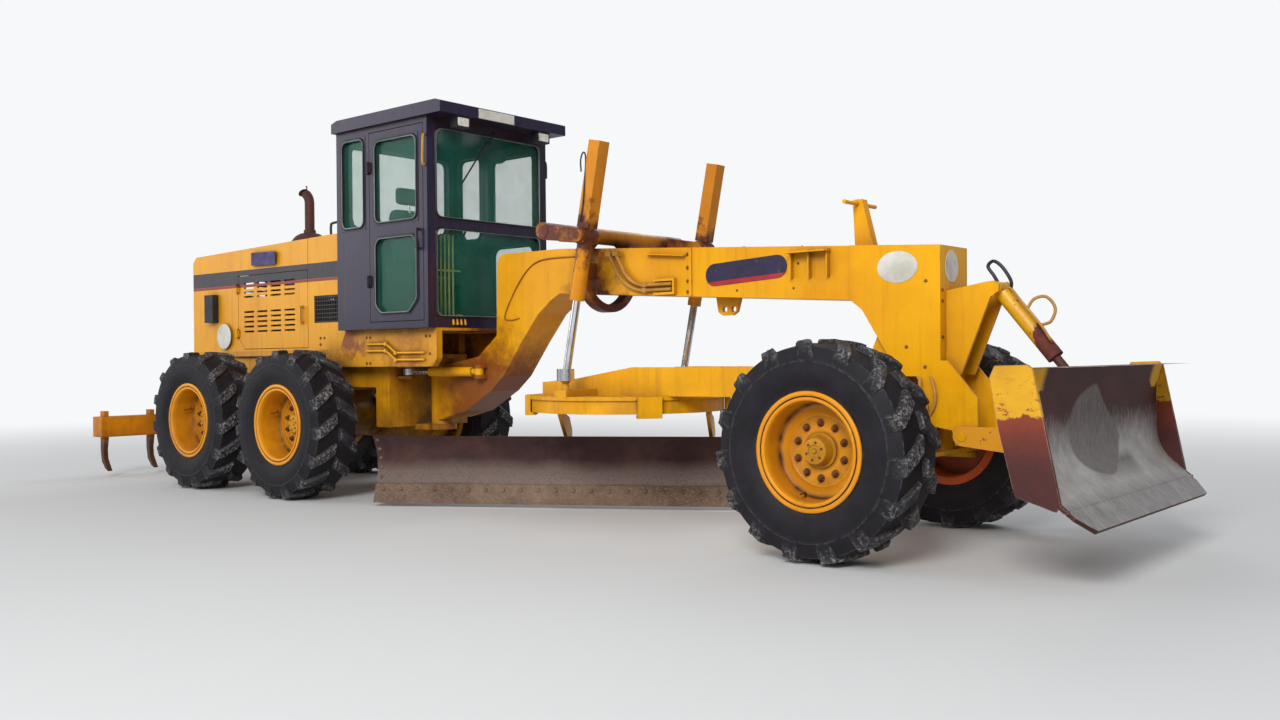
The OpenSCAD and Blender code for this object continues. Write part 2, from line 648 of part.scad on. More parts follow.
// Front frame
nose_y = nose_w / 2;
nose_z0 = 1110;
nose_foot = [120, nose_z0];
nose_heel = [-150, 1550];
neck_x = -3690;
function beam_z(x) = beam_top - x * tan(beam_fall);
bend_x = -2950;
bucket_pin = [560, 0, 735];
bucket_cyl_pin = [715, 0, 1660];
ear_x = -1400;
ear_pitch = 80;
lift_pin = [-circle_back + 220, 720, 2150];
lift_ball = [-circle_back, 720, 1090];
flange_x = -1600;
module main_frame() {
    zt = beam_z(bend_x);
    at_axle() color("gold") {
        // Gooseneck and beam in one profile
        side([[neck_x + 90, zt], [neck_x + 25, zt - 25], [neck_x, zt - 90], [neck_x - 15, 1450],
            [neck_x - 250, 1270],
            [hinge_x + 200, 1190], [hinge_x + 200, 720], [-4120, 790], [-3790, 970], [-3630, 1100],
                [-3400, 1390],
            [-3200, 1620], [-3040, 1735], [bend_x, beam_z(bend_x) - beam_h],
                [-200, beam_z(-200) - beam_h],
            [-200, beam_z(-200)], [bend_x, zt]], -beam_w / 2, beam_w / 2);
        // Hinge barrel
        difference() {
            union() {
                translate([hinge_x, 0, fork_z0]) cylinder(r = 100, h = fork_z1 - fork_z0);
                side([[hinge_x, 690], [hinge_x + 201, 720], [hinge_x + 201, 1190],
                    [hinge_x, 1190]], -95, 95);
            }
            translate([hinge_x, 0, fork_z0 - 1])
                cylinder(r = hinge_pin_r + run, h = fork_z1 - fork_z0 + 2);
        }
        // Ears of the frame cylinders
        pair() {
            for (z = [artic_pin[2] - 60, artic_pin[2] + 30 + run]) difference() {
                union() {
                    span([artic_pin[0] - 40, beam_w / 2 - 1, z],
                        [artic_pin[0] + 60, -artic_pin[1] + 5, z + 30 - run]);
                    translate([artic_pin[0], -artic_pin[1], z]) cylinder(r = 48, h = 30 - run);
                }
            }
            translate([artic_pin[0], -artic_pin[1], artic_pin[2] - 60]) cylinder(r = 20, h = 120);
        }
        // Nose
        side([[-240, beam_z(-240)], [410, beam_z(410)],
            [405, nose_z0], nose_foot, nose_heel, [-240, 1620]],
            -nose_y, nose_y);
        side([[350, nose_z0 + 1], [405, nose_z0 + 1], [405, 800], [350, 800]], -nose_y, nose_y);
        // Lower side plates that carry the bucket
        pair() difference() {
            union() {
                side([[250, nose_z0], [405, 1210], [450, 1210], [650, 970], [650, 790],
                    [bucket_pin[0] + 60, 680],
                    [bucket_pin[0] - 60, 670], [480, 770], [300, 800],
                        [250, 880]], nose_y - 22, nose_y);
                ycyl(bucket_pin[0], bucket_pin[2], 30, nose_y - 22, nose_y + 42);
            }
        }
        // Bracket of the bucket cylinder
        pair() side([[404, 1655], [680, 1702], [725, 1705], [755, 1680], [755, 1640], [700, 1605],
            [500, 1115],
            [404, 1115]], 90, 112);
        ycyl(bucket_cyl_pin[0], bucket_cyl_pin[2], 22, -112, 112);
        // Sight post with its crossbar
        side([[-290, beam_z(-290) - 1], [-150, beam_z(-150) - 1], [-235, 2310], [-305, 2310]], -35, 35);
        bar([-270, -215, 2280], [-270, 215, 2280], 14);
        // Lug with two holes under the beam
        difference() {
            side([[ear_x - 80, beam_z(ear_x - 80) - beam_h + 1],
                [ear_x + 140, beam_z(ear_x + 140) - beam_h + 1],
                [ear_x + 110, 1580], [ear_x + 70, 1555], [ear_x - 20, 1555],
                    [ear_x - 60, 1580]], -15, 15);
            for (k = [0, 1]) ycyl(ear_x + k * ear_pitch, 1600, 22, -20, 20);
        }
        // Bolted flange between the two lengths of the beam
        span([flange_x - 14, -beam_w / 2 - 10, beam_z(flange_x) - beam_h + 2],
            [flange_x + 14, beam_w / 2 + 10, beam_z(flange_x) - 4]);
        // Sloping ledge and hose slot on both sides, behind the flange
        pair() {
            side([[flange_x - 400, beam_z(flange_x - 400) - 48],
                [flange_x - 40, beam_z(flange_x - 40) - 58],
                [flange_x - 40, beam_z(flange_x - 40) - 66],
                    [flange_x - 400, beam_z(flange_x - 400) - 56]],
                beam_w / 2 - 1, beam_w / 2 + 45);
            difference() {
                span([flange_x - 330, beam_w / 2 - 1, 1722], [flange_x - 130, beam_w / 2 + 40, 1842]);
                span([flange_x - 331, beam_w / 2, 1740], [flange_x - 145, beam_w / 2 + 41, 1824]);
            }
        }
        // Folded bracket with its strut on the right side
        span([-720, -beam_w / 2 - 90, beam_z(-720) - 55], [-400, -beam_w / 2 + 1, beam_z(-720) - 45]);
        for (x = [-710, -565, -420]) side([[x, beam_z(-800) - 40], [x + 12, beam_z(-800) - 40],
            [x + 12, beam_z(-800) - 230],
            [x, beam_z(-800) - 230]], -beam_w / 2 - 40, -beam_w / 2 + 1);
    }
}
saddle_x = -circle_back - 210;
saddle_z = beam_z(saddle_x) - beam_h / 2;
// Hoses that leave the slot in the beam, run back along its side and up to their fittings
hose_r = 13;
module hose(z, bend, rise) {
    x0 = flange_x - 160;
    x1 = flange_x - 420;
    y = -beam_w / 2 - 28;
    bar([x0, y, z], [x1, y, z], hose_r);
    translate([x1, y, z + bend]) rotate([90, 0, 0]) rotate([0, 0, 210]) rotate_extrude(angle = 60)
        translate([bend, 0]) circle(r = hose_r, $fn = 24);
    bent = [x1 - bend * sin(60), y, z + bend - bend * cos(60)];
    end = bent + rise * [-cos(60), 0, sin(60)];
    bar(bent, end, hose_r);
    // Clip and end fitting on the beam
    span([x1 - 20, y - 17, z - 17], [x1 + 20, -beam_w / 2 - run, z + 17]);
    span([end[0] - 24, y - 17, end[2] - 12], [end[0] + 24, -beam_w / 2 - run, end[2] + 20]);
}
module front_hoses() {
    at_axle() color("peru") {
        hose(1762, 330, 150);
        hose(1802, 250, 150);
    }
}
module lift_saddle() {
    at_axle() color("gold") {
        difference() {
            xcyl(0, saddle_z, 325, saddle_x - 45, saddle_x + 45);
            xcyl(0, saddle_z, 264, saddle_x - 50, saddle_x + 50);
        }
        // Pads that hold the ring on the beam
        pair() span([saddle_x - 40, beam_w / 2, saddle_z - 60], [saddle_x + 40, 270, saddle_z + 60]);
        // Cross tube and the forks of the lift cylinders
        bar([saddle_x + 80, -lift_pin[1] - 110, lift_pin[2] + 60],
            [saddle_x + 80, lift_pin[1] + 110, lift_pin[2] + 60], 62);
        pair() for (dy = [-105, 75]) difference() {
            union() {
                side([[saddle_x + 80, lift_pin[2] + 110], [lift_pin[0], lift_pin[2] + 50],
                    [lift_pin[0], lift_pin[2] - 50],
                    [saddle_x + 80, lift_pin[2] - 10]], lift_pin[1] + dy, lift_pin[1] + dy + 30);
                ycyl(lift_pin[0], lift_pin[2], 50, lift_pin[1] + dy, lift_pin[1] + dy + 30);
            }
            ycyl(lift_pin[0], lift_pin[2], 28 + run, lift_pin[1] + dy - 1, lift_pin[1] + dy + 31);
        }
    }
}
module lift_barrel() {
    difference() {
        union() {
            aim(lift_pin, lift_ball) {
                translate([-54, -54, -700]) cube([108, 108, 640]);
                translate([0, 0, -80]) cylinder(r = 56, h = 560);
            }
            ycyl(lift_pin[0], lift_pin[2], 28, lift_pin[1] - 104, lift_pin[1] + 104);
            ycyl(lift_pin[0], lift_pin[2], 62, lift_pin[1] - 74, lift_pin[1] + 74);
        }
        aim(lift_pin, lift_ball) translate([0, 0, -660]) cylinder(r = 30 + run, h = 1200);
    }
}
module lift_rod() {
    l = norm(lift_ball - lift_pin);
    aim(lift_pin, lift_ball) translate([0, 0, -150]) cylinder(r = 30, h = l + 150 - 56);
    difference() {
        translate([lift_ball[0], lift_ball[1], lift_ball[2] - 12]) cylinder(r = 66, h = 90);
        translate(lift_ball) sphere(r = 54);
    }
}
module lift_barrels() { at_axle() color("orange") pair() lift_barrel(); }
module lift_rods() { at_axle() color("silver") pair() lift_rod(); }

// Front axle
lean_y = 560;
lean_z = 660;
king_y = 700;
axle_ball = [-280, 0, 800];
bar_z = 930;
module front_axle() {
    at_axle() color("gold") {
        side([[-120, 590], [118, 590], [118, nose_z0 - 0.1], [nose_foot[0], nose_z0 - 0.1],
            nose_foot + 0.65 * (nose_heel - nose_foot) - [0, 0.1], [-120, 1250]], -150, 150);
        span([-120, -190, 590], [118, 190, 1000]);
        difference() {
            union() {
                span([-90, -400, 590], [90, 400, 770]);
                pair() {
                    span([-60, 390, lean_z - 52], [60, lean_y, lean_z + 52]);
                    xcyl(lean_y, lean_z, 52, -60, 60);
                }
            }
            pair() xcyl(lean_y, lean_z, 30 + run, -70, 70);
        }
        bar([-100, 0, 800], axle_ball, 28);
        translate(axle_ball) sphere(r = 55);
    }
}
yoke_z0 = 566;
module lean_yoke() {
    difference() {
        union() {
            for (x = [-95, 65]) span([x, 500, yoke_z0], [x + 30, 641, 965]);
            span([-95, 618, yoke_z0], [95, 640, 965]);
            xcyl(lean_y, lean_z, 30, -94, 94);
            span([-40, 635, yoke_z0], [40, 700, 780]);
            translate([0, king_y, yoke_z0]) cylinder(r = 55, h = 780 - yoke_z0);
            xcyl(lean_y, bar_z, 18, 94, 190);
        }
        translate([0, king_y, 550]) cylinder(r = 28 + run, h = 250);
    }
}
module lean_yoke_left() { at_axle() color("goldenrod") lean_yoke(); }
module lean_yoke_right() { at_axle() color("goldenrod") mirror([0, 1, 0]) lean_yoke(); }
tie_pin = [200, king_y, 590];
module knuckle() {
    for (z = [780 + run, 525]) translate([0, 0, z]) {
        translate([0, king_y, 0]) cylinder(r = 55, h = 35 - run);
        span([-55, king_y, 0], [55, 800, 35 - run]);
    }
    translate([0, king_y, 525]) cylinder(r = 28, h = 290);
    span([-70, 780, 525], [70, 802, 815]);
    ycyl(0, wheel_z, 62, 801, track_half + front_dish_back - run);
    ycyl(0, wheel_z, 150, track_half + front_dish_back - 40, track_half + front_dish_back - run);
    // Steering arm with its pin
    translate([0, 0, 525]) linear_extrude(35 - run) polygon([[0, king_y - 54],
        [tie_pin[0] - 20, tie_pin[1] - 34],
        [tie_pin[0] + 20, tie_pin[1] - 26], [tie_pin[0] + 32, tie_pin[1]],
            [tie_pin[0] + 20, tie_pin[1] + 26],
        [tie_pin[0] - 20, tie_pin[1] + 34], [0, king_y + 54]]);
    translate([tie_pin[0], tie_pin[1], 530]) cylinder(r = 16, h = 90);
}
front_dish_back = front_dish - 14;
module knuckle_left() { at_axle() color("goldenrod") knuckle(); }
module knuckle_right() { at_axle() color("goldenrod") mirror([0, 1, 0]) knuckle(); }
module lean_bar() {
    at_axle() color("goldenrod") difference() {
        union() {
            span([130, -lean_y, bar_z - 22], [165, lean_y, bar_z + 22]);
            pair() xcyl(lean_y, bar_z, 38, 130, 165);
        }
        pair() xcyl(lean_y, bar_z, 18 + run, 120, 170);
    }
}
module tie_end() {
    at_axle() color("dimgray") difference() {
        union() {
            translate([tie_pin[0], -tie_pin[1], 572]) cylinder(r = 30, h = 36);
            xcyl(-tie_pin[1], tie_pin[2], 11, tie_pin[0] + 20, tie_pin[0] + 62);
        }
        translate([tie_pin[0], -tie_pin[1], 560]) cylinder(r = 16 + run, h = 60);
    }
}
module tie_rod() {
    x = tie_pin[0] + 46;
    at_axle() color("goldenrod") {
        difference() {
            union() {
                xcyl(-tie_pin[1], tie_pin[2], 28, x - 8, x + 12);
                span([x - 8, -tie_pin[1] + 10, tie_pin[2] - 14],
                    [x + 12, tie_pin[1] - 10, tie_pin[2] + 14]);
            }
            xcyl(-tie_pin[1], tie_pin[2], 11 + run, x - 20, x + 20);
        }
        difference() {
            union() {
                translate([tie_pin[0], tie_pin[1], tie_pin[2] - 12]) cylinder(r = 50, h = 24);
                span([tie_pin[0] + 25, tie_pin[1] - 20, tie_pin[2] - 12],
                    [x, tie_pin[1] - 10, tie_pin[2] + 12]);
                span([tie_pin[0] + 20, tie_pin[1] - 30, tie_pin[2] - 12],
                    [x + 12, tie_pin[1], tie_pin[2] + 12]);
            }
            translate([tie_pin[0], tie_pin[1], tie_pin[2] - 20]) cylinder(r = 32, h = 40);
        }
    }
}

// Drawbar, circle and blade
plate_z = circle_z + circle_t + run;
module drawbar() {
    at_axle() color("gold") {
        difference() {
            union() {
                // Side beams in plan, cut to their height seen from the side
                intersection() {
                    difference() {
                        translate([0, 0, plate_z + 29]) linear_extrude(300)
                            polygon([[-330, 60], [-1300, 300], [-2500, 460], [-2900, 430],
                                [-2900, -430], [-2500, -460],
                                [-1300, -300], [-330, -60]]);
                        translate([0, 0, plate_z]) linear_extrude(400)
                            polygon([[-900, 120], [-1320, 225], [-2500, 390], [-2820, 360],
                                [-2820, -360],
                                [-2500, -390], [-1320, -225], [-900, -120]]);
                    }
                    side([[-330, 900], [-330, 1120], [-420, 1170], [-2000, 1175], [-2500, 1090],
                        [-2900, 1060],
                        [-2900, 900]], -500, 500);
                }
                // Tongue down to the ball
                side([[-900, plate_z + 29], [-500, 940], [-330, 730], [-240, 730], [-240, 870],
                    [-330, 900],
                    [-420, 1160], [-900, 1160]], -75, 75);
                // Cross beam under the lift balls
                span([lift_ball[0] - 60, -lift_ball[1] - 60, plate_z + 29],
                    [lift_ball[0] + 60, lift_ball[1] + 60, 1010]);
                pair() {
                    translate([lift_ball[0], lift_ball[1], 1009]) cylinder(r1 = 34, r2 = 22, h = 50);
                    translate(lift_ball) sphere(r = 40);
                }
            }
            translate(axle_ball) sphere(r = 55 + run);
            aim(axle_ball, axle_ball + [100, 0, 0]) cylinder(r1 = 36, r2 = 66, h = 100);
        }
        // Circle plate with the guide shoes at its edge
        difference() {
            translate([-circle_back, 0, plate_z]) cylinder(r = circle_r + 15, h = 30);
            translate([-circle_back, 0, plate_z - 1]) cylinder(r = circle_r - 250, h = 32);
        }
        for (a = [38, 142, 218, 322]) translate([-circle_back, 0, 0]) rotate([0, 0, a]) {
            span([circle_r + gap, -90, circle_z - 30], [circle_r + 50, 90, plate_z + 30]);
            span([circle_r - 30, -90, circle_z - 30], [circle_r + 50, 90, circle_z - gap]);
        }
    }
}
// Blade frame: +X along the blade, +Y behind it, about the circle's centre
module on_circle() { translate([-circle_back, 0, 0]) rotate([0, 0, blade_angle]) children(); }
// Cross profile in the blade's Y and Z, extruded along it
module along(x0, x1) { translate([x0, 0, 0]) rotate([90, 0, 90]) linear_extrude(x1 - x0) children(); }
tip_pin = [430, 170];
arm_x = 600;
module blade_circle() {
    at_axle() color("gold") {
        translate([-circle_back, 0, circle_z]) difference() {
            cylinder(r = circle_r, h = circle_t);
            translate([0, 0, -1]) cylinder(r = circle_r - 125, h = circle_t + 2);
        }
        on_circle() for (x = [-arm_x - 30, arm_x]) difference() {
            along(x, x + 30) difference() {
                union() {
                    polygon([[190, circle_z + 1], [355, circle_z + 1], [355, circle_z - 48],
                        [480, circle_z - 80], [570, 640], [570, 300], [480, 150], [tip_pin[0], 130],
                        [395, 150], [395, 190], [tip_pin[0], 212], [470, 260], [470, 430], [415, 570],
                            [190, 780]]);
                    translate(tip_pin) circle(r = 40);
                }
                translate(tip_pin) circle(r = 25 + run);
            }
        }
    }
}
arc_y = -79;
arc_z = 317;
rail_y = 360;
shoe_y = arc_y + blade_r + blade_t + 9;
rail_low = [215, 255];
rail_high = [440, 480];
shift_y = 418;
shift_z = 345;
module blade_carrier() {
    at_axle() color("goldenrod") on_circle() difference() {
        union() {
            along(-arm_x + gap, arm_x - gap) translate([tip_pin[0] - 30, tip_pin[1] - 30]) square(60);
            for (x = [-arm_x - 34, arm_x - gap]) translate([x, tip_pin[0], tip_pin[1]])
                rotate([0, 90, 0]) cylinder(r = 25, h = 40);
            for (x = [-440, 360]) along(x, x + 80) polygon([[shoe_y, 140], [460, 140], [480, 300],
                [480, 470],
                [450, 510], [shoe_y, 510]]);
            translate([-350, shift_y, shift_z]) rotate([0, 90, 0]) cylinder(r = 37, h = 900);
        }
        // Ways for the two rails and the rod's bore
        for (r = [rail_low, rail_high]) span([-700, rail_y - 20, r[0] - run],
            [700, rail_y + 40 + run, r[1] + run]);
        translate([-500, shift_y, shift_z]) rotate([0, 90, 0]) cylinder(r = 20 + run, h = 1030);
    }
}
blade_x0 = -blade_len / 2 - blade_shift;
blade_x1 = blade_len / 2 - blade_shift;
blade_z0 = 100;
blade_z1 = blade_z0 + blade_h - 60;
function hollow_y(z) = arc_y + sqrt(blade_r * blade_r - (z - arc_z) * (z - arc_z));
module moldboard() {
    at_axle() color("saddlebrown") on_circle() {
        along(blade_x0, blade_x1) difference() {
            intersection() {
                translate([arc_y, arc_z]) circle(r = blade_r + blade_t, $fn = 96);
                translate([150, blade_z0]) square([400, blade_z1 - blade_z0]);
            }
            translate([arc_y, arc_z]) circle(r = blade_r, $fn = 96);
        }
        for (r = [rail_low, rail_high]) along(-1900, 1200) difference() {
            translate([hollow_y((r[0] + r[1]) / 2) + 4, r[0]])
                square([rail_y + 40 - hollow_y((r[0] + r[1]) / 2) - 4, r[1] - r[0]]);
            translate([arc_y, arc_z]) circle(r = blade_r + 6, $fn = 96);
        }
        // Bracket that takes the shift rod
        difference() {
            along(-1320, -1280) polygon([[366, 300], [shift_y + 34, 300], [shift_y + 34, 392],
                [366, 392]]);
            translate([-1330, shift_y, shift_z]) rotate([0, 90, 0]) cylinder(r = 20 + run, h = 60);
        }
    }
}
module cutting_edge() {
    y1 = hollow_y(190);
    y0 = hollow_y(blade_z0 + 1);
    k = (y1 - y0) / (189 - blade_z0);
    at_axle() color("gray") on_circle() along(blade_x0, blade_x1)
        polygon([[y1 - 0.2, 190], [y1 - 20, 190], [y1 - 20 - k * 158, 32], [y1 - k * 158 - 0.2, 32]]);
}
module shift_rod() {
    at_axle() color("silver") on_circle() translate([-1330, shift_y, shift_z]) rotate([0, 90, 0])
        cylinder(r = 20, h = 1220);
}

// Bucket
bucket_eye = [1200, 0, 1060];
module bucket_curve(d) {
    // Upper hollow, lower hollow, then straight to the crease
    r1 = 795;
    r2 = 300;
    polygon(concat(
        [for (a = [0:5]) let (t = 160 + a * 3.8) [2117 + (r1 + d) * cos(t), 903 + (r1 + d) * sin(t)]],
        [for (a = [0:6]) let (t = 181 + a * 8) [1622 + (r2 + d) * cos(t), 760 + (r2 + d) * sin(t)]],
        [[1535 - d * 0.64, 441 - d * 0.77], [1700, 441], [1700, 1175]]));
}
module bucket() {
    by = bucket_w / 2;
    at_axle() color("firebrick") {
        difference() {
            intersection() {
                on_side(-by, by) bucket_curve(bucket_t);
                span([1200, -by, 400], [1545, by, 1175]);
            }
            on_side(-by - 1, by + 1) bucket_curve(0);
        }
        // Side plates
        pair() side([[1130, 1120], [1160, 1185], [1340, 1190], [1368, 1165], [1505, 470], [1480, 430],
            [1265, 495],
            [1180, 840]], by - bucket_t, by);
        // Lip with cut corners
        translate([1528, 0, 446]) rotate([0, 39.8, 0]) translate([0, 0, -26])
            linear_extrude(26) polygon([[-60, -by + 24], [60, -by + 24], [168, -by + 110],
                [168, by - 110], [60, by - 24], [-60, by - 24]]);
        // Back beam and ribs
        pair() difference() {
            side([[1180, 1150], [1345, 1150], [1330, 1000], [1180, 1000]], 92, by - bucket_t);
            on_side(80, by + 1) bucket_curve(bucket_t);
        }
        // Arms to the lower pin, ears of the cylinder
        pair() difference() {
            union() {
                difference() {
                    side([[bucket_pin[0], bucket_pin[2] + 60], [900, 800], [1200, 1010], [1345, 1010],
                        [1345, 560], [1500, 445],
                        [1250, 520], [900, 640], [bucket_pin[0], bucket_pin[2] - 60]], nose_y + gap,
                            nose_y + gap + 30);
                    on_side(-by - 1, by + 1) bucket_curve(bucket_t);
                }
                ycyl(bucket_pin[0], bucket_pin[2], 60, nose_y + gap, nose_y + gap + 30);
            }
            ycyl(bucket_pin[0], bucket_pin[2], 30 + run, nose_y, nose_y + 60);
        }
        pair() difference() {
            side([[1330, 1150], [1170, 1125], [1140, 1060], [1170, 1005], [1330, 900]], 70, 92);
            on_side(60, 100) bucket_curve(bucket_t);
        }
        ycyl(bucket_eye[0], bucket_eye[2], 22, -92, 92);
    }
}
module bucket_barrel() {
    at_axle() color("gold") {
        tube_barrel(bucket_cyl_pin, bucket_eye, 40, 560, 52, 28);
        difference() {
            union() {
                ycyl(bucket_cyl_pin[0], bucket_cyl_pin[2], 42, -84, 84);
                aim(bucket_cyl_pin, bucket_eye) cylinder(r = 30, h = 45);
            }
            ycyl(bucket_cyl_pin[0], bucket_cyl_pin[2], 22 + run, -90, 90);
        }
    }
}
module bucket_rod() { at_axle() color("silver")
    rod_eye(bucket_cyl_pin, bucket_eye, 28, 260, 30, 46, 110); }

chassis();
engine_block();
hood();
radiator_grille();
exhaust();
tandem_drive();
cab_frame();
cab_roof();
cab_glass();
seat();
controls();
lamps();
hydraulic_lines();
door_right();
door_right_glass();
door_left();
door_left_glass();
engine_door_right();
engine_door_left();
rim_r1();
tyre_r1();
rim_r2();
tyre_r2();
rim_r3();
tyre_r3();
rim_l1();
tyre_l1();
rim_l2();
tyre_l2();
rim_l3();
tyre_l3();
ripper();
ripper_barrel();
ripper_rod();
frame_barrel_right();
frame_rod_right();
frame_barrel_left();
frame_rod_left();
main_frame();
front_hoses();
lift_saddle();
front_axle();
lift_barrels();
lift_rods();
drawbar();
blade_circle();
blade_carrier();
moldboard();
cutting_edge();
shift_rod();
lean_yoke_right();
lean_yoke_left();
knuckle_right();
knuckle_left();
lean_bar();
tie_end();
tie_rod();
bucket();
bucket_barrel();
bucket_rod();
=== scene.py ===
# %% [markdown] # Motor grader This file dresses the packed model of a motor grader: worn
# yellow paint, an ink blue cab, rusty bucket and blade, muddy tyres. Small new pieces are laid
# on them, by the solids' own boxes and faces or by places read off the photo.

# %% Load the frame
import math
import bpy
import mathutils
from mathutils.bvhtree import BVHTree
import numpy as np
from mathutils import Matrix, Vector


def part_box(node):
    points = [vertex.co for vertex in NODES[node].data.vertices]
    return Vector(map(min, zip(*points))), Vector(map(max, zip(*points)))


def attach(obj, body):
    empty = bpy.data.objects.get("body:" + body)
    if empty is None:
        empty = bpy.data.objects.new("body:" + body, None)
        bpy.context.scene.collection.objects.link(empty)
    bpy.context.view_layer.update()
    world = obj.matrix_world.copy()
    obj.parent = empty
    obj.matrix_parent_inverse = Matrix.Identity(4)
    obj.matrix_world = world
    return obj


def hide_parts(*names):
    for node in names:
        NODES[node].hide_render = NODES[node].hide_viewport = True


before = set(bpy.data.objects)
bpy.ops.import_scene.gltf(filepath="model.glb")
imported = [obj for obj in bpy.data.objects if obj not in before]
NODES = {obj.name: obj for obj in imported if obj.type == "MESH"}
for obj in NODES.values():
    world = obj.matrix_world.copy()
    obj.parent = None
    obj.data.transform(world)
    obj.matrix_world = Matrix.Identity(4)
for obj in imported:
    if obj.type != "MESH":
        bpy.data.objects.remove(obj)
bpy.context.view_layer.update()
AXLE_X = 3.7365                      # the front axle stands this far ahead of the origin

# %% [markdown]
# ## Camera
# The photo was taken at chest height near the front right wheel, with a lens of about 33 mm on
# a full frame. The place and the angles were fitted to the wheels, the cab and the long edges,
# so they are written here as plain numbers. A camera looks along its own -Z, so its matrix is
# built from the directions right, up and back.

# %% Camera
YAW, PITCH, ROLL = np.radians([39.919, -0.100, -0.564])
EYE = np.array([AXLE_X + 3.701, -7.103, 1.245])
SENSOR, FOCAL, WIDTH = 36.0, 1170, 1280      # sensor in mm; focal length and picture in pixels
look = np.array([-math.sin(YAW) * math.cos(PITCH), math.cos(YAW) * math.cos(PITCH), math.sin(PITCH)])
right = np.array([math.cos(YAW), math.sin(YAW), 0.0])
up = np.cross(right, look)
right, up = (math.cos(ROLL) * right + math.sin(ROLL) * up,
             -math.sin(ROLL) * right + math.cos(ROLL) * up)
lens = bpy.data.cameras.new("camera")
lens.sensor_width, lens.lens = SENSOR, SENSOR * FOCAL / WIDTH
lens.clip_start, lens.clip_end = 0.1, 200
camera = bpy.data.objects.new("camera", lens)
bpy.context.scene.collection.objects.link(camera)
turn = np.eye(4)
turn[:3, 0], turn[:3, 1], turn[:3, 2], turn[:3, 3] = right, up, -look, EYE
camera.matrix_world = mathutils.Matrix(turn.tolist())
bpy.context.scene.camera = camera
print("camera at", EYE.round(3), "lens", round(lens.lens, 1))

# %% [markdown]
# ## A short way to wire nodes
# Every finish is a small node tree on Object coordinates, so it sticks to the metal when a body
# moves. Helper classes keep the wiring short: each call adds one node and returns its output,
# and outputs are added and multiplied like numbers.

# %% A short way to wire nodes
class Value:
    """An output of a node. The signs +, - and * between values add a node for the sum or product."""

    def __init__(self, wires, socket):
        self.wires, self.socket = wires, socket

    def __add__(self, other):
        return self.wires.math("ADD", self, other)

    def __mul__(self, other):
        return self.wires.math("MULTIPLY", self, other)

    def __sub__(self, other):
        return self.wires.math("SUBTRACT", self, other)

    def __rsub__(self, other):
        return self.wires.math("SUBTRACT", other, self)

class Wires:
    """A node tree under construction."""

    def __init__(self, tree):
        self.tree = tree

    def put(self, value, socket):
        """Links a value to a socket, or sets the socket's own number."""
        if isinstance(value, Value):
            self.tree.links.new(value.socket, socket)
        else:
            socket.default_value = value

    def node(self, kind, output, inputs=None, **settings):
        """Adds a node with its settings and inputs, and gives back one of its outputs."""
        node = self.tree.nodes.new(kind)
        for key, value in settings.items():
            setattr(node, key, value)
        for key, value in (inputs or {}).items():
            self.put(value, node.inputs[key])
        return Value(self, node.outputs[output])

    def math(self, kind, a, b=0.0):
        """One of the math node's operations on a and b."""
        return self.node("ShaderNodeMath", 0, {0: a, 1: b}, operation=kind)

def linear(code):
    """Screen colour #rrggbb to the linear red, green and blue that shaders take."""
    c = np.array([int(code[i:i + 2], 16) for i in (1, 3, 5)]) / 255
    return tuple(np.where(c <= 0.04045, c / 12.92, ((c + 0.055) / 1.055) ** 2.4).tolist())

def rgba(tone):
    """A screen colour, or red, green and blue, with alpha 1 behind it. A value stays as it is."""
    if isinstance(tone, Value):
        return tone
    return (*(linear(tone) if isinstance(tone, str) else tone), 1)

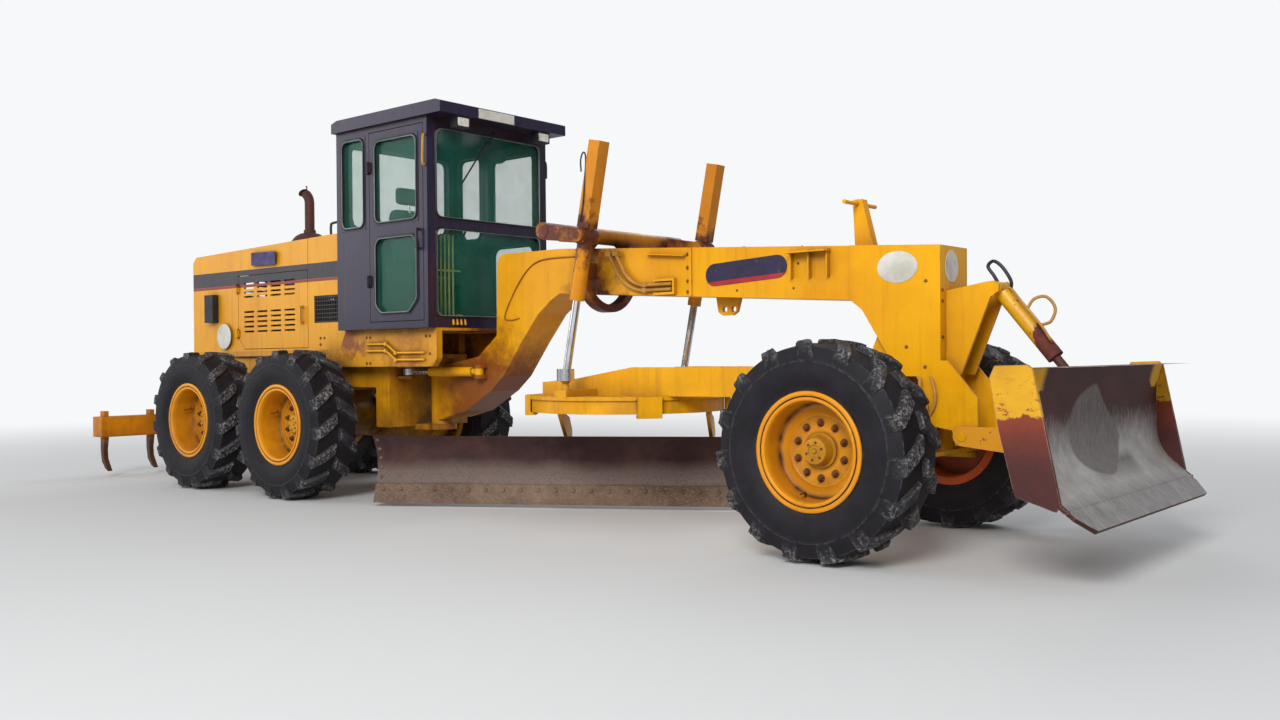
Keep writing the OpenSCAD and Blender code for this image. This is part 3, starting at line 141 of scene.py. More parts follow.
class Finish(Wires):
    """A material under construction. Every method adds nodes and gives back a value."""

    def __init__(self, name):
        self.material = bpy.data.materials.new(name)
        self.material.use_nodes = True
        super().__init__(self.material.node_tree)
        self.shader = self.tree.nodes["Principled BSDF"]
        self.place = self.node("ShaderNodeTexCoord", "Object")

    def stretch(self, x, y, z):
        """Object coordinates multiplied by x, y, z: a large number makes a pattern narrow there."""
        return self.node("ShaderNodeMapping", 0, {"Vector": self.place, "Scale": (x, y, z)})

    def noise(self, scale, detail=4.0, rough=0.55, at=None, warp=0.0):
        """Cloud noise from 0 to 1 with about scale spots to the metre."""
        return self.node("ShaderNodeTexNoise", "Fac", {
            "Vector": at or self.place, "Scale": scale, "Detail": detail, "Roughness": rough,
            "Distortion": warp})

    def cells(self, scale):
        """Distance to the nearest of many scattered points, about scale of them to the metre."""
        return self.node("ShaderNodeTexVoronoi", "Distance", {"Vector": self.place, "Scale": scale})

    def ramp(self, value, low, high, to_low=0.0, to_high=1.0):
        """Straight ramp: to_low at or under low, to_high at or over high."""
        return self.node("ShaderNodeMapRange", 0, {
            "Value": value, "From Min": low, "From Max": high, "To Min": to_low, "To Max": to_high})

    def axis(self, letter):
        """One coordinate of the place on the object, in metres."""
        return self.node("ShaderNodeSeparateXYZ", letter, {0: self.place})

    def flat_normal(self):
        """The direction of the face itself, before any smoothing."""
        return self.node("ShaderNodeNewGeometry", "True Normal")

    def facing(self, letter):
        """One coordinate of the surface's own direction, so 1 on what faces that way."""
        return self.node("ShaderNodeSeparateXYZ", letter, {0: self.flat_normal()})

    def blend(self, mask, a, b):
        """Colour a where the mask is 0 and b where it is 1."""
        return self.node("ShaderNodeMix", "Result", {"Factor": mask, "A": rgba(a), "B": rgba(b)},
                         data_type="RGBA")

    def edges(self, radius):
        """1 near a sharp edge: there the rounded normal turns away from the flat one."""
        bevel = self.node("ShaderNodeBevel", 0, {"Radius": radius}, samples=4)
        dot = self.node("ShaderNodeVectorMath", "Value", {0: bevel, 1: self.flat_normal()},
                        operation="DOT_PRODUCT")
        return self.ramp(dot, 0.99, 0.80)

    def crevices(self, reach):
        """1 in corners and under overhangs, from how much sky a point sees within reach."""
        sky = self.node("ShaderNodeAmbientOcclusion", "AO", {"Distance": reach}, samples=6)
        return self.ramp(sky, 0.95, 0.35)

    def near(self, place, reach, ragged=0.25):
        """1 within about reach metres of a place, with a border that noise tears."""
        away = self.node("ShaderNodeVectorMath", "Value", {0: self.place, 1: place}, operation="DISTANCE")
        torn = away + self.ramp(self.noise(7, 6, 0.7), 0.2, 0.8, -ragged, ragged)
        return self.ramp(torn, reach, reach * 0.45)

    def between(self, value, low, high, soft):
        """1 where a value lies between low and high, fading over soft at both ends."""
        return (self.ramp(value, low - soft, low + soft)
                * self.ramp(value, high + soft, high - soft))

    def made(self, name):
        """A number that the mesh itself carries at each corner."""
        return self.node("ShaderNodeAttribute", "Fac", attribute_name=name)

    def bump(self, height, strength, depth):
        """Tilts the light on the surface as if it rose by depth metres where height is 1."""
        made = self.node("ShaderNodeBump", 0, {"Height": height, "Strength": strength, "Distance": depth})
        self.put(made, self.shader.inputs["Normal"])

    def done(self, color, rough, metal=0.0, **more):
        """Wires the shader and gives back the material; an underscore stands for a space in a name."""
        for key, value in (("Base Color", rgba(color)), ("Roughness", rough), ("Metallic", metal)):
            self.put(value, self.shader.inputs[key])
        for key, value in more.items():
            self.put(value, self.shader.inputs[key.replace("_", " ")])
        return self.material

print("wiring ready:", ", ".join(name for name in vars(Finish) if not name.startswith("_")))

# %% [markdown]
# ## Floor and light
# A grader is judged by its silhouette and its dirt, so the stage stays plain: a pale floor that
# keeps the shadow, a big soft lamp from the front left of the camera, and a pale sky. Light Path
# tells the world shader when the camera looks at it, so the backdrop can be white without
# lighting the paint any more. The floor melts into the same white with its distance, so there
# is no horizon.

# %% Floor and light
def new_object(name, points, faces, smooth=False):
    """A mesh object from arrays: points is (n, 3), faces is a list or array of corner numbers."""
    mesh = bpy.data.meshes.new(name)
    mesh.from_pydata(np.asarray(points, float).tolist(), [], [list(map(int, f)) for f in faces])
    mesh.update()
    if smooth:
        mesh.polygons.foreach_set("use_smooth", np.ones(len(mesh.polygons), bool))
    obj = bpy.data.objects.new(name, mesh)
    bpy.context.scene.collection.objects.link(obj)
    return obj

PAGE = (0.93, 0.94, 0.95, 1)
HALF_FLOOR = 90
corners = HALF_FLOOR * np.array([[-1, -1, 0], [1, -1, 0], [1, 1, 0], [-1, 1, 0]])
floor = new_object("floor", corners, [[0, 1, 2, 3]])
stone = Finish("pale_floor")
away = stone.node("ShaderNodeVectorMath", "Value", {0: stone.place}, operation="LENGTH")
fade = stone.node("ShaderNodeMapRange", 0, {"Value": away, "From Min": 6.0, "From Max": 19.0},
                  interpolation_type="SMOOTHSTEP")
share = fade * stone.node("ShaderNodeLightPath", "Is Camera Ray")
lit = Value(stone, stone.shader.outputs[0])
glow = stone.node("ShaderNodeEmission", 0, {"Color": PAGE})
melt = stone.node("ShaderNodeMixShader", 0, {0: share, 1: lit, 2: glow})
stone.put(melt, stone.tree.nodes["Material Output"].inputs[0])
floor.data.materials.append(stone.done((0.66, 0.66, 0.65), 0.9))

def soft_lamp(name, place, aim, size, power):
    """An area lamp at place, turned so that its -Z points at aim."""
    data = bpy.data.lights.new(name, "AREA")
    data.shape, data.size, data.energy = "SQUARE", size, power
    lamp = bpy.data.objects.new(name, data)
    back = np.subtract(place, aim) / np.linalg.norm(np.subtract(place, aim))
    side = np.cross([0, 0, 1], back) / np.linalg.norm(np.cross([0, 0, 1], back))
    m = np.eye(4)
    m[:3, 0], m[:3, 1], m[:3, 2], m[:3, 3] = side, np.cross(back, side), back, place
    lamp.matrix_world = mathutils.Matrix(m.tolist())
    bpy.context.scene.collection.objects.link(lamp)

soft_lamp("key", (8, -15, 10), (0, 0, 1), 7, 2500)
soft_lamp("fill", (-13, -9, 6), (-2, 0, 1), 9, 550)
soft_lamp("rim", (-4, 14, 10), (0, 0, 1), 9, 800)

world = bpy.data.worlds.new("sky")
bpy.context.scene.world = world
world.use_nodes = True
sky = Wires(world.node_tree)
back_drop = sky.tree.nodes["Background"]
back_drop.inputs["Color"].default_value = (0.80, 0.84, 0.90, 1)
back_drop.inputs["Strength"].default_value = 0.5
white = sky.node("ShaderNodeBackground", 0, {"Color": PAGE})
seen = sky.node("ShaderNodeLightPath", "Is Camera Ray")
through = sky.node("ShaderNodeLightPath", "Is Transmission Ray")
either = sky.math("MAXIMUM", seen, through)
mix = sky.node("ShaderNodeMixShader", 0, {0: either, 1: Value(sky, back_drop.outputs[0]), 2: white})
sky.put(mix, sky.tree.nodes["World Output"].inputs[0])
bpy.context.scene.view_settings.view_transform = "Standard"
print("stage and lamps set")

# %% [markdown]
# ## Finishes
# Machine paint comes first, then bare steel, then rubber, glass and plastic.
#
# ### Worn paint
# Machine yellow fades in clouds, chips at its edges, and rust runs down from the chips. Dust
# settles on what faces up. Soil brown darkens what lies low, partly as mud and partly as painted
# shade, and darkens corners and hollows as painted shade. One function makes every paint on the
# machine: only its colour, its age, and its dirt and painted shade change.

# %% Worn paint
RUST, RUST_DARK, DUST = "#7E4210", "#3C1E14", "#A08A5E"
# The soil brown paints mud low down and painted shade in corners and hollows. The grease colour paints
# the hood's seam, and grease with painted shade in the rims' gaps.
SOIL_AND_SHADE, GREASE_AND_SHADE = "#4A3219", "#2E1A14"

def worn_paint(name, color, faded, chips=0.5, dirt_and_shade=0.5, gloss=0.38, marks=None, spots=(), ring=False):
    """Paint: faded in clouds, chipped at its edges, streaked downwards, dusty above, soil brown below
    as mud and painted shade, and soil brown in its corners as painted shade. One strength sets the
    dirt and the painted shade; ring adds grease and painted shade in the gaps of a rim.
    marks(f, base) may lay bands over the base colour; each spot is a place, a reach and a colour."""
    f = Finish(name)
    clouds = f.noise(1.3, 5, 0.6)
    fine = f.noise(38, 6, 0.65)
    base = f.blend(f.ramp(clouds, 0.36, 0.68), color, faded)
    if marks:
        base = marks(f, base)
    flecks = f.ramp(f.noise(21, 9, 0.72), 0.735 - 0.06 * chips, 0.775 - 0.06 * chips)
    worn = f.edges(0.01) * f.ramp(fine, 0.6 - 0.26 * chips, 0.72 - 0.2 * chips)
    bare = f.math("MAXIMUM", worn, flecks * f.ramp(f.noise(1.7, 3), 0.44, 0.6))
    runs = f.ramp(f.noise(2.6, 7, 0.62, f.stretch(8, 8, 0.55)), 0.50, 0.86, 0.0, 0.75 * dirt_and_shade)
    stained = f.blend(runs, base, RUST)
    # Painted shade: soil brown darkens corners and hollows, where little sky is seen.
    corner_shade = f.crevices(0.22) * f.ramp(f.noise(5, 5, 0.6), 0.25, 0.6, 0.25, 1.25 * dirt_and_shade)
    # Soil brown towards the bottom: partly mud, partly painted shade.
    low = f.ramp(f.axis("Z"), 1.25, 0.25) * f.ramp(f.noise(4, 6, 0.6), 0.36, 0.66, 0.0, 1.3 * dirt_and_shade)
    up = f.ramp(f.facing("Z"), 0.6, 1.0) * f.ramp(f.noise(6, 6), 0.4, 0.7, 0.0, 0.8 * dirt_and_shade)
    color2 = f.blend(up, f.blend(low, f.blend(corner_shade, stained, SOIL_AND_SHADE), SOIL_AND_SHADE), DUST)
    for place, reach, tone in spots:
        color2 = f.blend(f.near(place, reach), color2, tone)
    # A rim's gaps and disc corner carry grease and painted shade: near-black brown where they see little
    # light.
    if ring:
        color2 = f.blend(f.made("grease") * f.ramp(f.noise(9, 6), 0.3, 0.6, 0.45, 1.0), color2, GREASE_AND_SHADE)
    rusty = f.blend(f.ramp(fine, 0.4, 0.6), RUST_DARK, RUST)
    final = f.blend(bare, color2, rusty)
    rough = f.ramp(f.math("MAXIMUM", bare, f.math("MAXIMUM", corner_shade, up)), 0.0, 1.0, gloss, 0.92)
    f.bump(f.ramp(f.noise(14, 3), 0, 1, 0, 0.35) - bare, 0.35, 0.002)
    return f.done(final, rough, Specular_IOR_Level=0.32)

def hood_marks(f, base):
    """The dark band along the hood with a red line under it, and a panel seam ahead of the doors."""
    z = f.axis("Z") + f.ramp(f.noise(20, 4), 0, 1, -0.002, 0.002)
    base = f.blend(f.between(z, 2.035, 2.185, 0.001), base, "#2B2833")
    base = f.blend(f.between(z, 2.008, 2.034, 0.001), base, "#8E2A14")
    seam = f.between(f.axis("X"), AXLE_X - 5.99, AXLE_X - 5.982, 0.001) * f.ramp(z, 2.12, 2.13)
    return f.blend(seam, base, GREASE_AND_SHADE)

def soiled_feet(f, base):
    """Bare brown steel below a torn line, where the ripper's shanks go into the ground."""
    z = f.axis("Z") + f.ramp(f.noise(9, 5), 0, 1, -0.06, 0.06)
    return f.blend(f.ramp(z, 0.47, 0.36), base, "#4A2A1C")

SADDLE = (AXLE_X - 2.58, 0.0, 1.95)
BROWN, UMBER = "#5A2A1C", "#8A4A14"
YELLOW, OCHRE = "#F0AC02", "#E09602"
yellow = worn_paint("yellow_paint", YELLOW, OCHRE, 0.40, 0.5)
beam_paint = worn_paint("beam_paint", YELLOW, OCHRE, 0.25, 0.42,
                        spots=[((SADDLE[0], 0, 1.62), 0.42, BROWN), ((SADDLE[0], 0, 2.12), 0.30, UMBER),
                               ((AXLE_X - 3.9, 0, 0.95), 0.75, UMBER)])
frame_paint = worn_paint("frame_paint", "#DE9C08", "#BE7C10", 0.65, 0.85,
                         spots=[((AXLE_X - 4.30, -0.30, 1.00), 0.55, UMBER),
                                ((AXLE_X - 4.25, 0.30, 1.00), 0.55, UMBER),
                                ((AXLE_X - 4.05, 0, 1.35), 0.42, BROWN),
                                ((AXLE_X - 5.2, -0.55, 1.48), 0.30, UMBER)])
hood_paint = worn_paint("hood_paint", "#E7A30A", OCHRE, 0.30, 0.45, marks=hood_marks)
saddle_paint = worn_paint("saddle_paint", "#C88210", UMBER, 0.8, 0.8,
                          spots=[((SADDLE[0], 0, 1.60), 0.48, BROWN),
                                 ((SADDLE[0] + 0.2, -0.72, 2.15), 0.34, BROWN),
                                 ((SADDLE[0] + 0.2, 0.72, 2.15), 0.34, BROWN)])
lift_paint = worn_paint("lift_cylinder_paint", "#D98A08", "#B87010", 0.35, 0.55,
                        spots=[((AXLE_X - 2.15, -0.72, 2.15), 0.24, BROWN),
                               ((AXLE_X - 2.15, 0.72, 2.15), 0.24, BROWN)])
amber = worn_paint("amber_rim_paint", "#EFA00C", "#E38E0A", 0.22, 0.22, ring=True)
orange = worn_paint("orange_rim_paint", "#DB5E1C", "#B84818", 0.3, 0.3, ring=True)
cap_paint = worn_paint("hub_cap_paint", "#E0A208", "#C08210", 0.4, 0.5)
nut_iron = worn_paint("wheel_nut_paint", "#8A5210", "#5A3012", 0.9, 0.9)
ink = worn_paint("ink_blue_paint", "#231E3A", "#1A1730", 0.30, 0.32, 0.3)
ripper_paint = worn_paint("ripper_paint", "#E08A06", "#C87808", 0.4, 0.5, marks=soiled_feet)
print("paints made:", len([m for m in bpy.data.materials if m.name.endswith("paint")]))

# %% [markdown]
# ### Bare and rusty steel
# The blade and the bucket lost their paint long ago. Their plates are brown, with a brighter
# band where earth polishes them.

# %% Bare and rusty steel
def earth_worn(name, dark, mid, shine, band=None, metal=0.35):
    """Rusty plate with scratches along its length; band gives the height range that is polished."""
    f = Finish(name)
    clouds = f.noise(3.0, 8, 0.62, warp=0.4)
    color = f.blend(f.ramp(clouds, 0.35, 0.68), dark, mid)
    scratch = f.ramp(f.noise(9, 6, 0.7, f.stretch(1.2, 9, 9)), 0.50, 0.72)
    if band:
        z = f.axis("Z") + f.ramp(f.noise(2.2, 5), 0, 1, -0.07, 0.07)
        polished = f.between(z, band[0], band[1], 0.05) * f.ramp(scratch, 0, 1, 0.75, 0.25)
    else:
        polished = scratch * 0.35
    color = f.blend(polished, color, shine)
    # Painted shade: soil brown darkens corners and hollows, where little sky is seen.
    dirt_and_shade = f.crevices(0.12) * f.ramp(f.noise(8, 6), 0.35, 0.6)
    color = f.blend(dirt_and_shade, color, SOIL_AND_SHADE)
    f.bump(f.noise(24, 8, 0.7), 0.4, 0.003)
    return f.done(color, f.ramp(polished, 0, 1, 0.72, 0.48), f.ramp(polished, 0, 1, 0.1, metal))

def bucket_finish():
    """Old yellow on the top corners, red rust under it, a scoop polished by earth in the hollow,
    and inside that the darker fan where the last load dried."""
    f = Finish("bucket_steel")
    x, y, z = f.axis("X"), f.axis("Y"), f.axis("Z")
    wide = f.math("ABSOLUTE", y)
    torn = f.ramp(f.noise(6, 8, 0.7), 0.2, 0.8, -0.05, 0.05)
    clouds = f.noise(3.5, 7, 0.65, warp=0.3)
    rust = f.blend(f.ramp(clouds, 0.35, 0.7), "#351413", "#561F19")
    side = f.ramp(wide, 1.112, 1.118)
    red_rust = side * f.ramp(z + torn, 0.7, 0.9)
    rust = f.blend(red_rust * 0.8, rust, "#8A3414")
    inside = f.ramp(wide, 1.118, 1.1) * f.ramp(f.facing("X") + f.facing("Z"), 0.25, 0.55)
    scrape = f.ramp(f.noise(14, 7, 0.75, f.stretch(3, 9, 1.0)), 0.25, 0.75, -0.10, 0.10)
    polish = inside * f.ramp(z + (torn + scrape), 0.9, 0.66)
    steel = f.blend(f.ramp(f.noise(5, 8, 0.7), 0.3, 0.7), "#A39F9C", "#D0CBC4")
    lip = f.ramp(z, 0.5, 0.44) * f.ramp(f.noise(11, 7, 0.7, f.stretch(1, 4, 1)), 0.35, 0.65, 0.2, 0.75)
    steel = f.blend(lip, steel, "#6E6664")
    color = f.blend(polish, rust, steel)
    # The fan is a disc of radius 0.43 about y -0.07, z 0.80, with its height scaled by 1.62. A
    # straight line from its tip down to the crease cuts its right side off
    drop = (z - 0.8) * 1.62
    across = y + 0.07
    square = drop * drop + across * across
    disc = f.ramp(f.math("SQRT", square) + torn * 0.35, 0.445, 0.415)
    right_line = (z - 1.045) * 1.35 + (y + 0.05)
    under = f.ramp(right_line + torn * 0.3, 0.02, -0.01)
    tail = f.ramp(z, 0.66, 0.6) * f.ramp(f.math("ABSOLUTE", y - 0.1), 0.42, 0.3)
    fan = inside * under * f.math("MAXIMUM", disc, tail * f.ramp(z, 0.5, 0.6))
    streaks = f.ramp(f.noise(30, 6, 0.7, f.stretch(2, 3, 0.5)), 0.35, 0.65)
    color = f.blend(fan * 0.85, color, f.blend(streaks, "#5A4E4C", "#8A7F7A"))
    paint_line = z + (torn + f.ramp(wide, 1.118, 1.1) * -0.12)
    reach = f.math("MAXIMUM", side, f.ramp(wide, 0.9, 0.97))
    paint = reach * f.ramp(x, AXLE_X + 1.0, AXLE_X + 1.02) * f.ramp(paint_line, 0.915, 0.925)
    flaked = f.ramp(f.noise(19, 9, 0.75, f.stretch(1, 1, 2.2)), 0.56, 0.60)
    low_flakes = flaked * f.ramp(z, 1.12, 0.95, 0.15, 1.0)
    paint = paint * (1.0 - f.math("MAXIMUM", low_flakes, f.edges(0.012)))
    color = f.blend(paint, color, f.blend(f.ramp(clouds, 0.3, 0.7), "#E2AC0A", "#C88E0A"))
    arms = f.ramp(x, AXLE_X + 1.17, AXLE_X + 1.12) * f.ramp(wide, 0.4, 0.38)
    chipped = f.ramp(f.noise(13, 8, 0.72), 0.60, 0.63)
    color = f.blend(arms * (1.0 - chipped), color, "#DC9408")
    bright = f.edges(0.006) * f.ramp(f.noise(9, 5), 0.35, 0.6)
    color = f.blend(bright, color, "#C9B59A")
    f.bump(f.noise(26, 8, 0.7), 0.35, 0.003)
    gloss = f.math("MAXIMUM", polish * 0.9, bright)
    return f.done(color, f.ramp(gloss, 0, 1, 0.66, 0.40), f.ramp(gloss, 0, 1, 0.05, 0.45))

def half_rusted(name):
    """The bucket cylinder: a yellow barrel, rusted over its lower third, with a few torn spots."""
    f = Finish(name)
    line = f.axis("X") + f.ramp(f.noise(12, 6, 0.7), 0.2, 0.8, -0.035, 0.035)
    chips = f.ramp(f.noise(17, 8, 0.72), 0.58, 0.61)
    bare = f.math("MAXIMUM", f.ramp(line, AXLE_X + 0.955, AXLE_X + 0.965), chips * 0.9)
    paint = f.blend(f.ramp(f.noise(3), 0.35, 0.65), "#E4AA08", "#D09208")
    rust = f.blend(f.ramp(f.noise(12, 7), 0.35, 0.65), "#3E1A16", "#6A2C1E")
    f.bump(f.noise(20, 5) - bare, 0.4, 0.002)
    return f.done(f.blend(bare, paint, rust), f.ramp(bare, 0, 1, 0.42, 0.8))

blade_steel = earth_worn("blade_steel", "#33191A", "#53352F", "#76655D", (0.16, 0.36), 0.2)
edge_steel = earth_worn("edge_steel", "#5A4232", "#7E6650", "#B5A48C")
bucket_steel = bucket_finish()
old_yellow = half_rusted("old_yellow_paint")
pipe_rust = earth_worn("exhaust_rust", "#37181C", "#5E2E26", "#7A5248", None, 0.1)

def rod_steel(name, color):
    """Hard chrome with a film of oil and fine dust."""
    f = Finish(name)
    film = f.ramp(f.noise(9, 5, 0.6, f.stretch(1, 1, 0.4)), 0.45, 0.7)
    f.bump(f.noise(60, 2), 0.05, 0.001)
    return f.done(f.blend(film, color, "#8C8478"), f.ramp(film, 0, 1, 0.16, 0.5),
                  f.ramp(film, 0, 1, 1.0, 0.6))

rod = rod_steel("rod_chrome", "#D8DADC")
print("steels made")

# %% [markdown]
# ### Rubber, glass, plastic, cloth
# Tyres are nearly black with a violet cast, and dry mud fills the grooves. Window glass is
# tinted green.

# %% Rubber, glass, plastic, cloth
def tyre_rubber(name):
    """Dark rubber, dusty clouds, dry mud where little sky is seen and on the tread's flanks."""
    f = Finish(name)
    clouds = f.noise(7, 7, 0.65)
    color = f.blend(f.ramp(clouds, 0.35, 0.7), "#0D0A0F", "#1D1922")
    top = f.made("lug")
    color = f.blend(top * f.ramp(f.noise(10, 6, 0.7), 0.36, 0.66, 0.0, 0.8), color, "#3C3A40")
    mud = f.crevices(0.07) * f.ramp(f.noise(16, 6), 0.42, 0.68, 0.1, 0.7)
    color = f.blend(mud, color, "#4E463C")
    specks = top * f.ramp(f.noise(46, 7, 0.75), 0.5, 0.6) * f.ramp(f.noise(4, 3), 0.38, 0.56)
    color = f.blend(specks, color, "#94928C")
    worn = f.edges(0.01) * f.ramp(f.noise(30, 6), 0.4, 0.6, 0.0, 0.7)
    color = f.blend(worn, color, "#7A787A")
    f.bump(f.noise(70, 6, 0.7), 0.5, 0.003)
    return f.done(color, f.ramp(mud, 0, 1, 0.66, 0.95), Specular_IOR_Level=0.3)

def tinted_glass(name):
    """Thin green glass: mostly clear, with a film of dust that the noise breaks up. A pane has two
    faces and the cab has two walls, so four faces of alpha a let (1 - a)^4 of the light through."""
    f = Finish(name)
    film = f.ramp(f.noise(5, 5), 0.4, 0.75, 0.0, 0.05)
    tone = f.blend(f.ramp(f.noise(2.5, 4), 0.4, 0.7), (0.008, 0.19, 0.11), (0.020, 0.24, 0.165))
    material = f.done(tone, f.ramp(f.noise(8, 4), 0, 1, 0.02, 0.07), Transmission_Weight=0.0,
                      Alpha=film + 0.17)
    material.surface_render_method = "BLENDED"
    return material

def dull_plastic(name, dark, light, rough=0.6):
    """Moulded plastic: two close tones in clouds, and a fine leathery bump."""
    f = Finish(name)
    f.bump(f.cells(240), 0.25, 0.0006)
    return f.done(f.blend(f.ramp(f.noise(9, 5), 0.35, 0.65), dark, light), rough)

rubber = tyre_rubber("tyre_rubber")
glass = tinted_glass("green_glass")
black = dull_plastic("black_plastic", "#141418", "#26262B")
seat_cloth = dull_plastic("seat_cover", "#22242A", "#3A3B40", 0.85)
hose_tan = dull_plastic("tan_hose", "#A8742A", "#C08C3C", 0.5)
iron = dull_plastic("dark_iron", "#242426", "#3C3833", 0.7)
print("rubber, glass and plastics made")

# %% [markdown]
# ## Finishes on the solids
# Each solid takes one finish. A short table of finish and node names is easier to read, and to
# change, than a line for every node.

# %% Finishes on the solids
WEARS = {
    yellow: "drawbar blade_circle lean_yoke_right lean_yoke_left knuckle_right knuckle_left lean_bar"
            " tie_rod front_axle ripper_barrel frame_barrel_right frame_barrel_left hydraulic_lines",
    beam_paint: "main_frame",
    frame_paint: "chassis tandem_drive",
    hood_paint: "hood engine_door_right engine_door_left",
    saddle_paint: "lift_saddle",
    ripper_paint: "ripper",
    old_yellow: "bucket_barrel",
    amber: "rim_r1 rim_l1 rim_r2 rim_l2 rim_r3 rim_l3",
    lift_paint: "lift_barrels",
    ink: "cab_frame cab_roof door_right door_left",
    bucket_steel: "bucket",
    blade_steel: "moldboard blade_carrier",
    edge_steel: "cutting_edge",
    pipe_rust: "exhaust bucket_rod",
    rod: "lift_rods ripper_rod frame_rod_right frame_rod_left shift_rod",
    rubber: "tyre_r1 tyre_l1 tyre_r2 tyre_l2 tyre_r3 tyre_l3",
    hose_tan: "front_hoses",
    glass: "cab_glass door_right_glass door_left_glass",
    black: "lamps controls",
    seat_cloth: "seat",
    iron: "engine_block radiator_grille tie_end",
}
for finish, names in WEARS.items():
    for name in names.split():
        mesh = NODES[name].data
        mesh.materials.clear()
        mesh.materials.append(finish)
dressed = {name for names in WEARS.values() for name in names.split()}
print("dressed", len(dressed), "of", len(NODES), "nodes; left:", sorted(set(NODES) - dressed))

# %% [markdown]
# ## Closed grids
# A grid of points that is joined round on both axes makes a closed surface, such as a tyre or a
# rim. The faces have to look outwards, which the sign of the volume tells.

# %% Helpers for grids
SINK = -0.004                        # plates and bolts start this far inside the piece they lie on
SIDES = ((-1, "right"), (1, "left"))

def looks_out(flat, quads):
    """Whether faces look outwards: the sum of their corner products has the sign of the volume."""
    a, b, d = flat[quads[:, 0]], flat[quads[:, 1]], flat[quads[:, 2]]
    return np.einsum("ij,ij->i", a - flat.mean(0), np.cross(b - a, d - a)).sum() >= 0

def shaded(name, flat, faces, material, crease):
    """A smooth object that stays sharp where two faces meet at more than crease degrees."""
    obj = new_object(name, flat, faces, smooth=True)
    obj.data.set_sharp_from_angle(angle=math.radians(crease))
    obj.data.materials.append(material)
    return obj

def closed_grid(name, points, material, crease=38.0):
    """A surface over a grid of points (rows, columns, 3), joined round on both axes."""
    rows, cols = points.shape[:2]
    r, c = np.meshgrid(np.arange(rows), np.arange(cols), indexing="ij")
    r2, c2 = (r + 1) % rows, (c + 1) % cols
    quads = np.stack([r * cols + c, r2 * cols + c, r2 * cols + c2, r * cols + c2], -1).reshape(-1, 4)
    flat = points.reshape(-1, 3)
    return shaded(name, flat, quads if looks_out(flat, quads) else quads[:, ::-1], material, crease)

def carry(obj, name, values):
    """Writes one number per corner point, which the material reads back by its name."""
    numbers = np.ascontiguousarray(values, float).ravel()
    obj.data.attributes.new(name, "FLOAT", "POINT").data.foreach_set("value", numbers)

print("grids ready")

# %% [markdown]
# ## Tyres
# A tyre is one closed grid: rows go across it from bead to bead, columns go round it. The lugs
# of one shoulder slant towards the middle, so the columns slant with them, by half a lug pitch.
# The other shoulder uses the same columns half a pitch later, which makes the arrow pattern.
# The height of a lug is added row by row, and a little noise tears its edges.

# %% Six tyres
TREAD = {"bead": 0.318, "flange": 0.366, "lugs": 15, "lug": 0.032}

def tread_shares():
    """Column places within one lug pitch: close together at the flanks, wide on the flats."""
    half = np.array([0, 0.02, 0.08, 0.15, 0.22, 0.29, 0.33, 0.35, 0.385, 0.43, 0.465])
    return np.concatenate([half, half + 0.5])

def tyre_piece(name, node, hub_x, hub_z, body, seed):
    """A torn, lugged tyre in place of the plain solid, on the same body and about the same axle."""
    low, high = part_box(node)
    middle = 0.5 * (low[1] + high[1])
    out = -1.0 if middle < 0 else 1.0
    t, rng = TREAD, np.random.default_rng(seed)
    # Half a cross section from the bead to the crown: place across, radius, lug push out and up
    s = np.array([0, .12, .26, .42, .56, .64, .665, .69, .74, .80, .87, .94, 1.0])
    wall_y = 0.184 + 0.0385 * np.sin(math.pi * s ** 0.8) + 0.012 * s + np.where(s == .665, 0.003, 0)
    wall_r = t["flange"] + (0.632 - t["flange"]) * s
    crown_y = np.array([0.190, 0.172, 0.148, 0.122, 0.096, 0.070, 0.048, 0.032, 0.020, 0.009])
    crown_r = 0.645 - 0.011 * (crown_y / 0.19) ** 2
    y = np.concatenate([[0.150, 0.180], wall_y, crown_y])
    r = np.concatenate([[t["bead"], t["bead"] + 0.012], wall_r, crown_r])
    push = np.concatenate([[0, 0], np.interp(s, [.70, .80, 1], [0, .008, .012]),
                           np.interp(crown_y, [0.12, 0.19], [0, .010])])
    rise = np.concatenate([[0, 0], t["lug"] * np.interp(s, [.78, 1], [0, .98]), np.full(9, t["lug"]),
                           [0.0]])
    turn = 0.5 * np.clip((0.2 - y) / 0.184, 0, 1)
    share = tread_shares()
    u = np.tile(share, t["lugs"])
    lug_no = np.repeat(np.arange(t["lugs"]), len(share))

    def half(side):
        """One half of the tyre: side 0 is the outer shoulder, side 1 the inner one, half a pitch on."""
        v = (u + 0.5 * side) % 1.0
        rising, falling = np.clip((v - 0.965) / 0.035, 0, 1), np.clip((0.385 - v) / 0.035, 0, 1)
        high = np.where(v >= 0.9, rising, np.where(v <= 0.35, 1, falling))
        worn = rng.uniform(0.86, 1.0, t["lugs"])[lug_no]
        round_off = np.where((v < 0.01) | (np.abs(v - 0.35) < 0.01), 0.88, 1.0)
        height = high * worn * round_off
        torn = rng.normal(0, 0.0016, (len(y), len(u))) * high
        radius = r[:, None] + rise[:, None] * height + torn * (rise[:, None] > 0)
        across = y[:, None] + push[:, None] * height + 0.4 * torn * (push[:, None] > 0)
        angle = (lug_no + u + turn[:, None] - 0.675) * (2 * math.pi / t["lugs"]) - math.pi / 2
        place = out * across * (1 if side == 0 else -1) + middle
        lug_top = np.clip(rise[:, None] / t["lug"], 0, 1) * height
        points = np.stack([hub_x + radius * np.cos(angle), place, hub_z + radius * np.sin(angle)], -1)
        return points, lug_top

    (outer, outer_top), (inner, inner_top) = half(0), half(1)
    piece = closed_grid(name, np.concatenate([outer, inner[::-1]]), rubber)
    carry(piece, "lug", np.concatenate([outer_top, inner_top[::-1]]))
    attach(piece, body)
    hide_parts(node)
    return piece

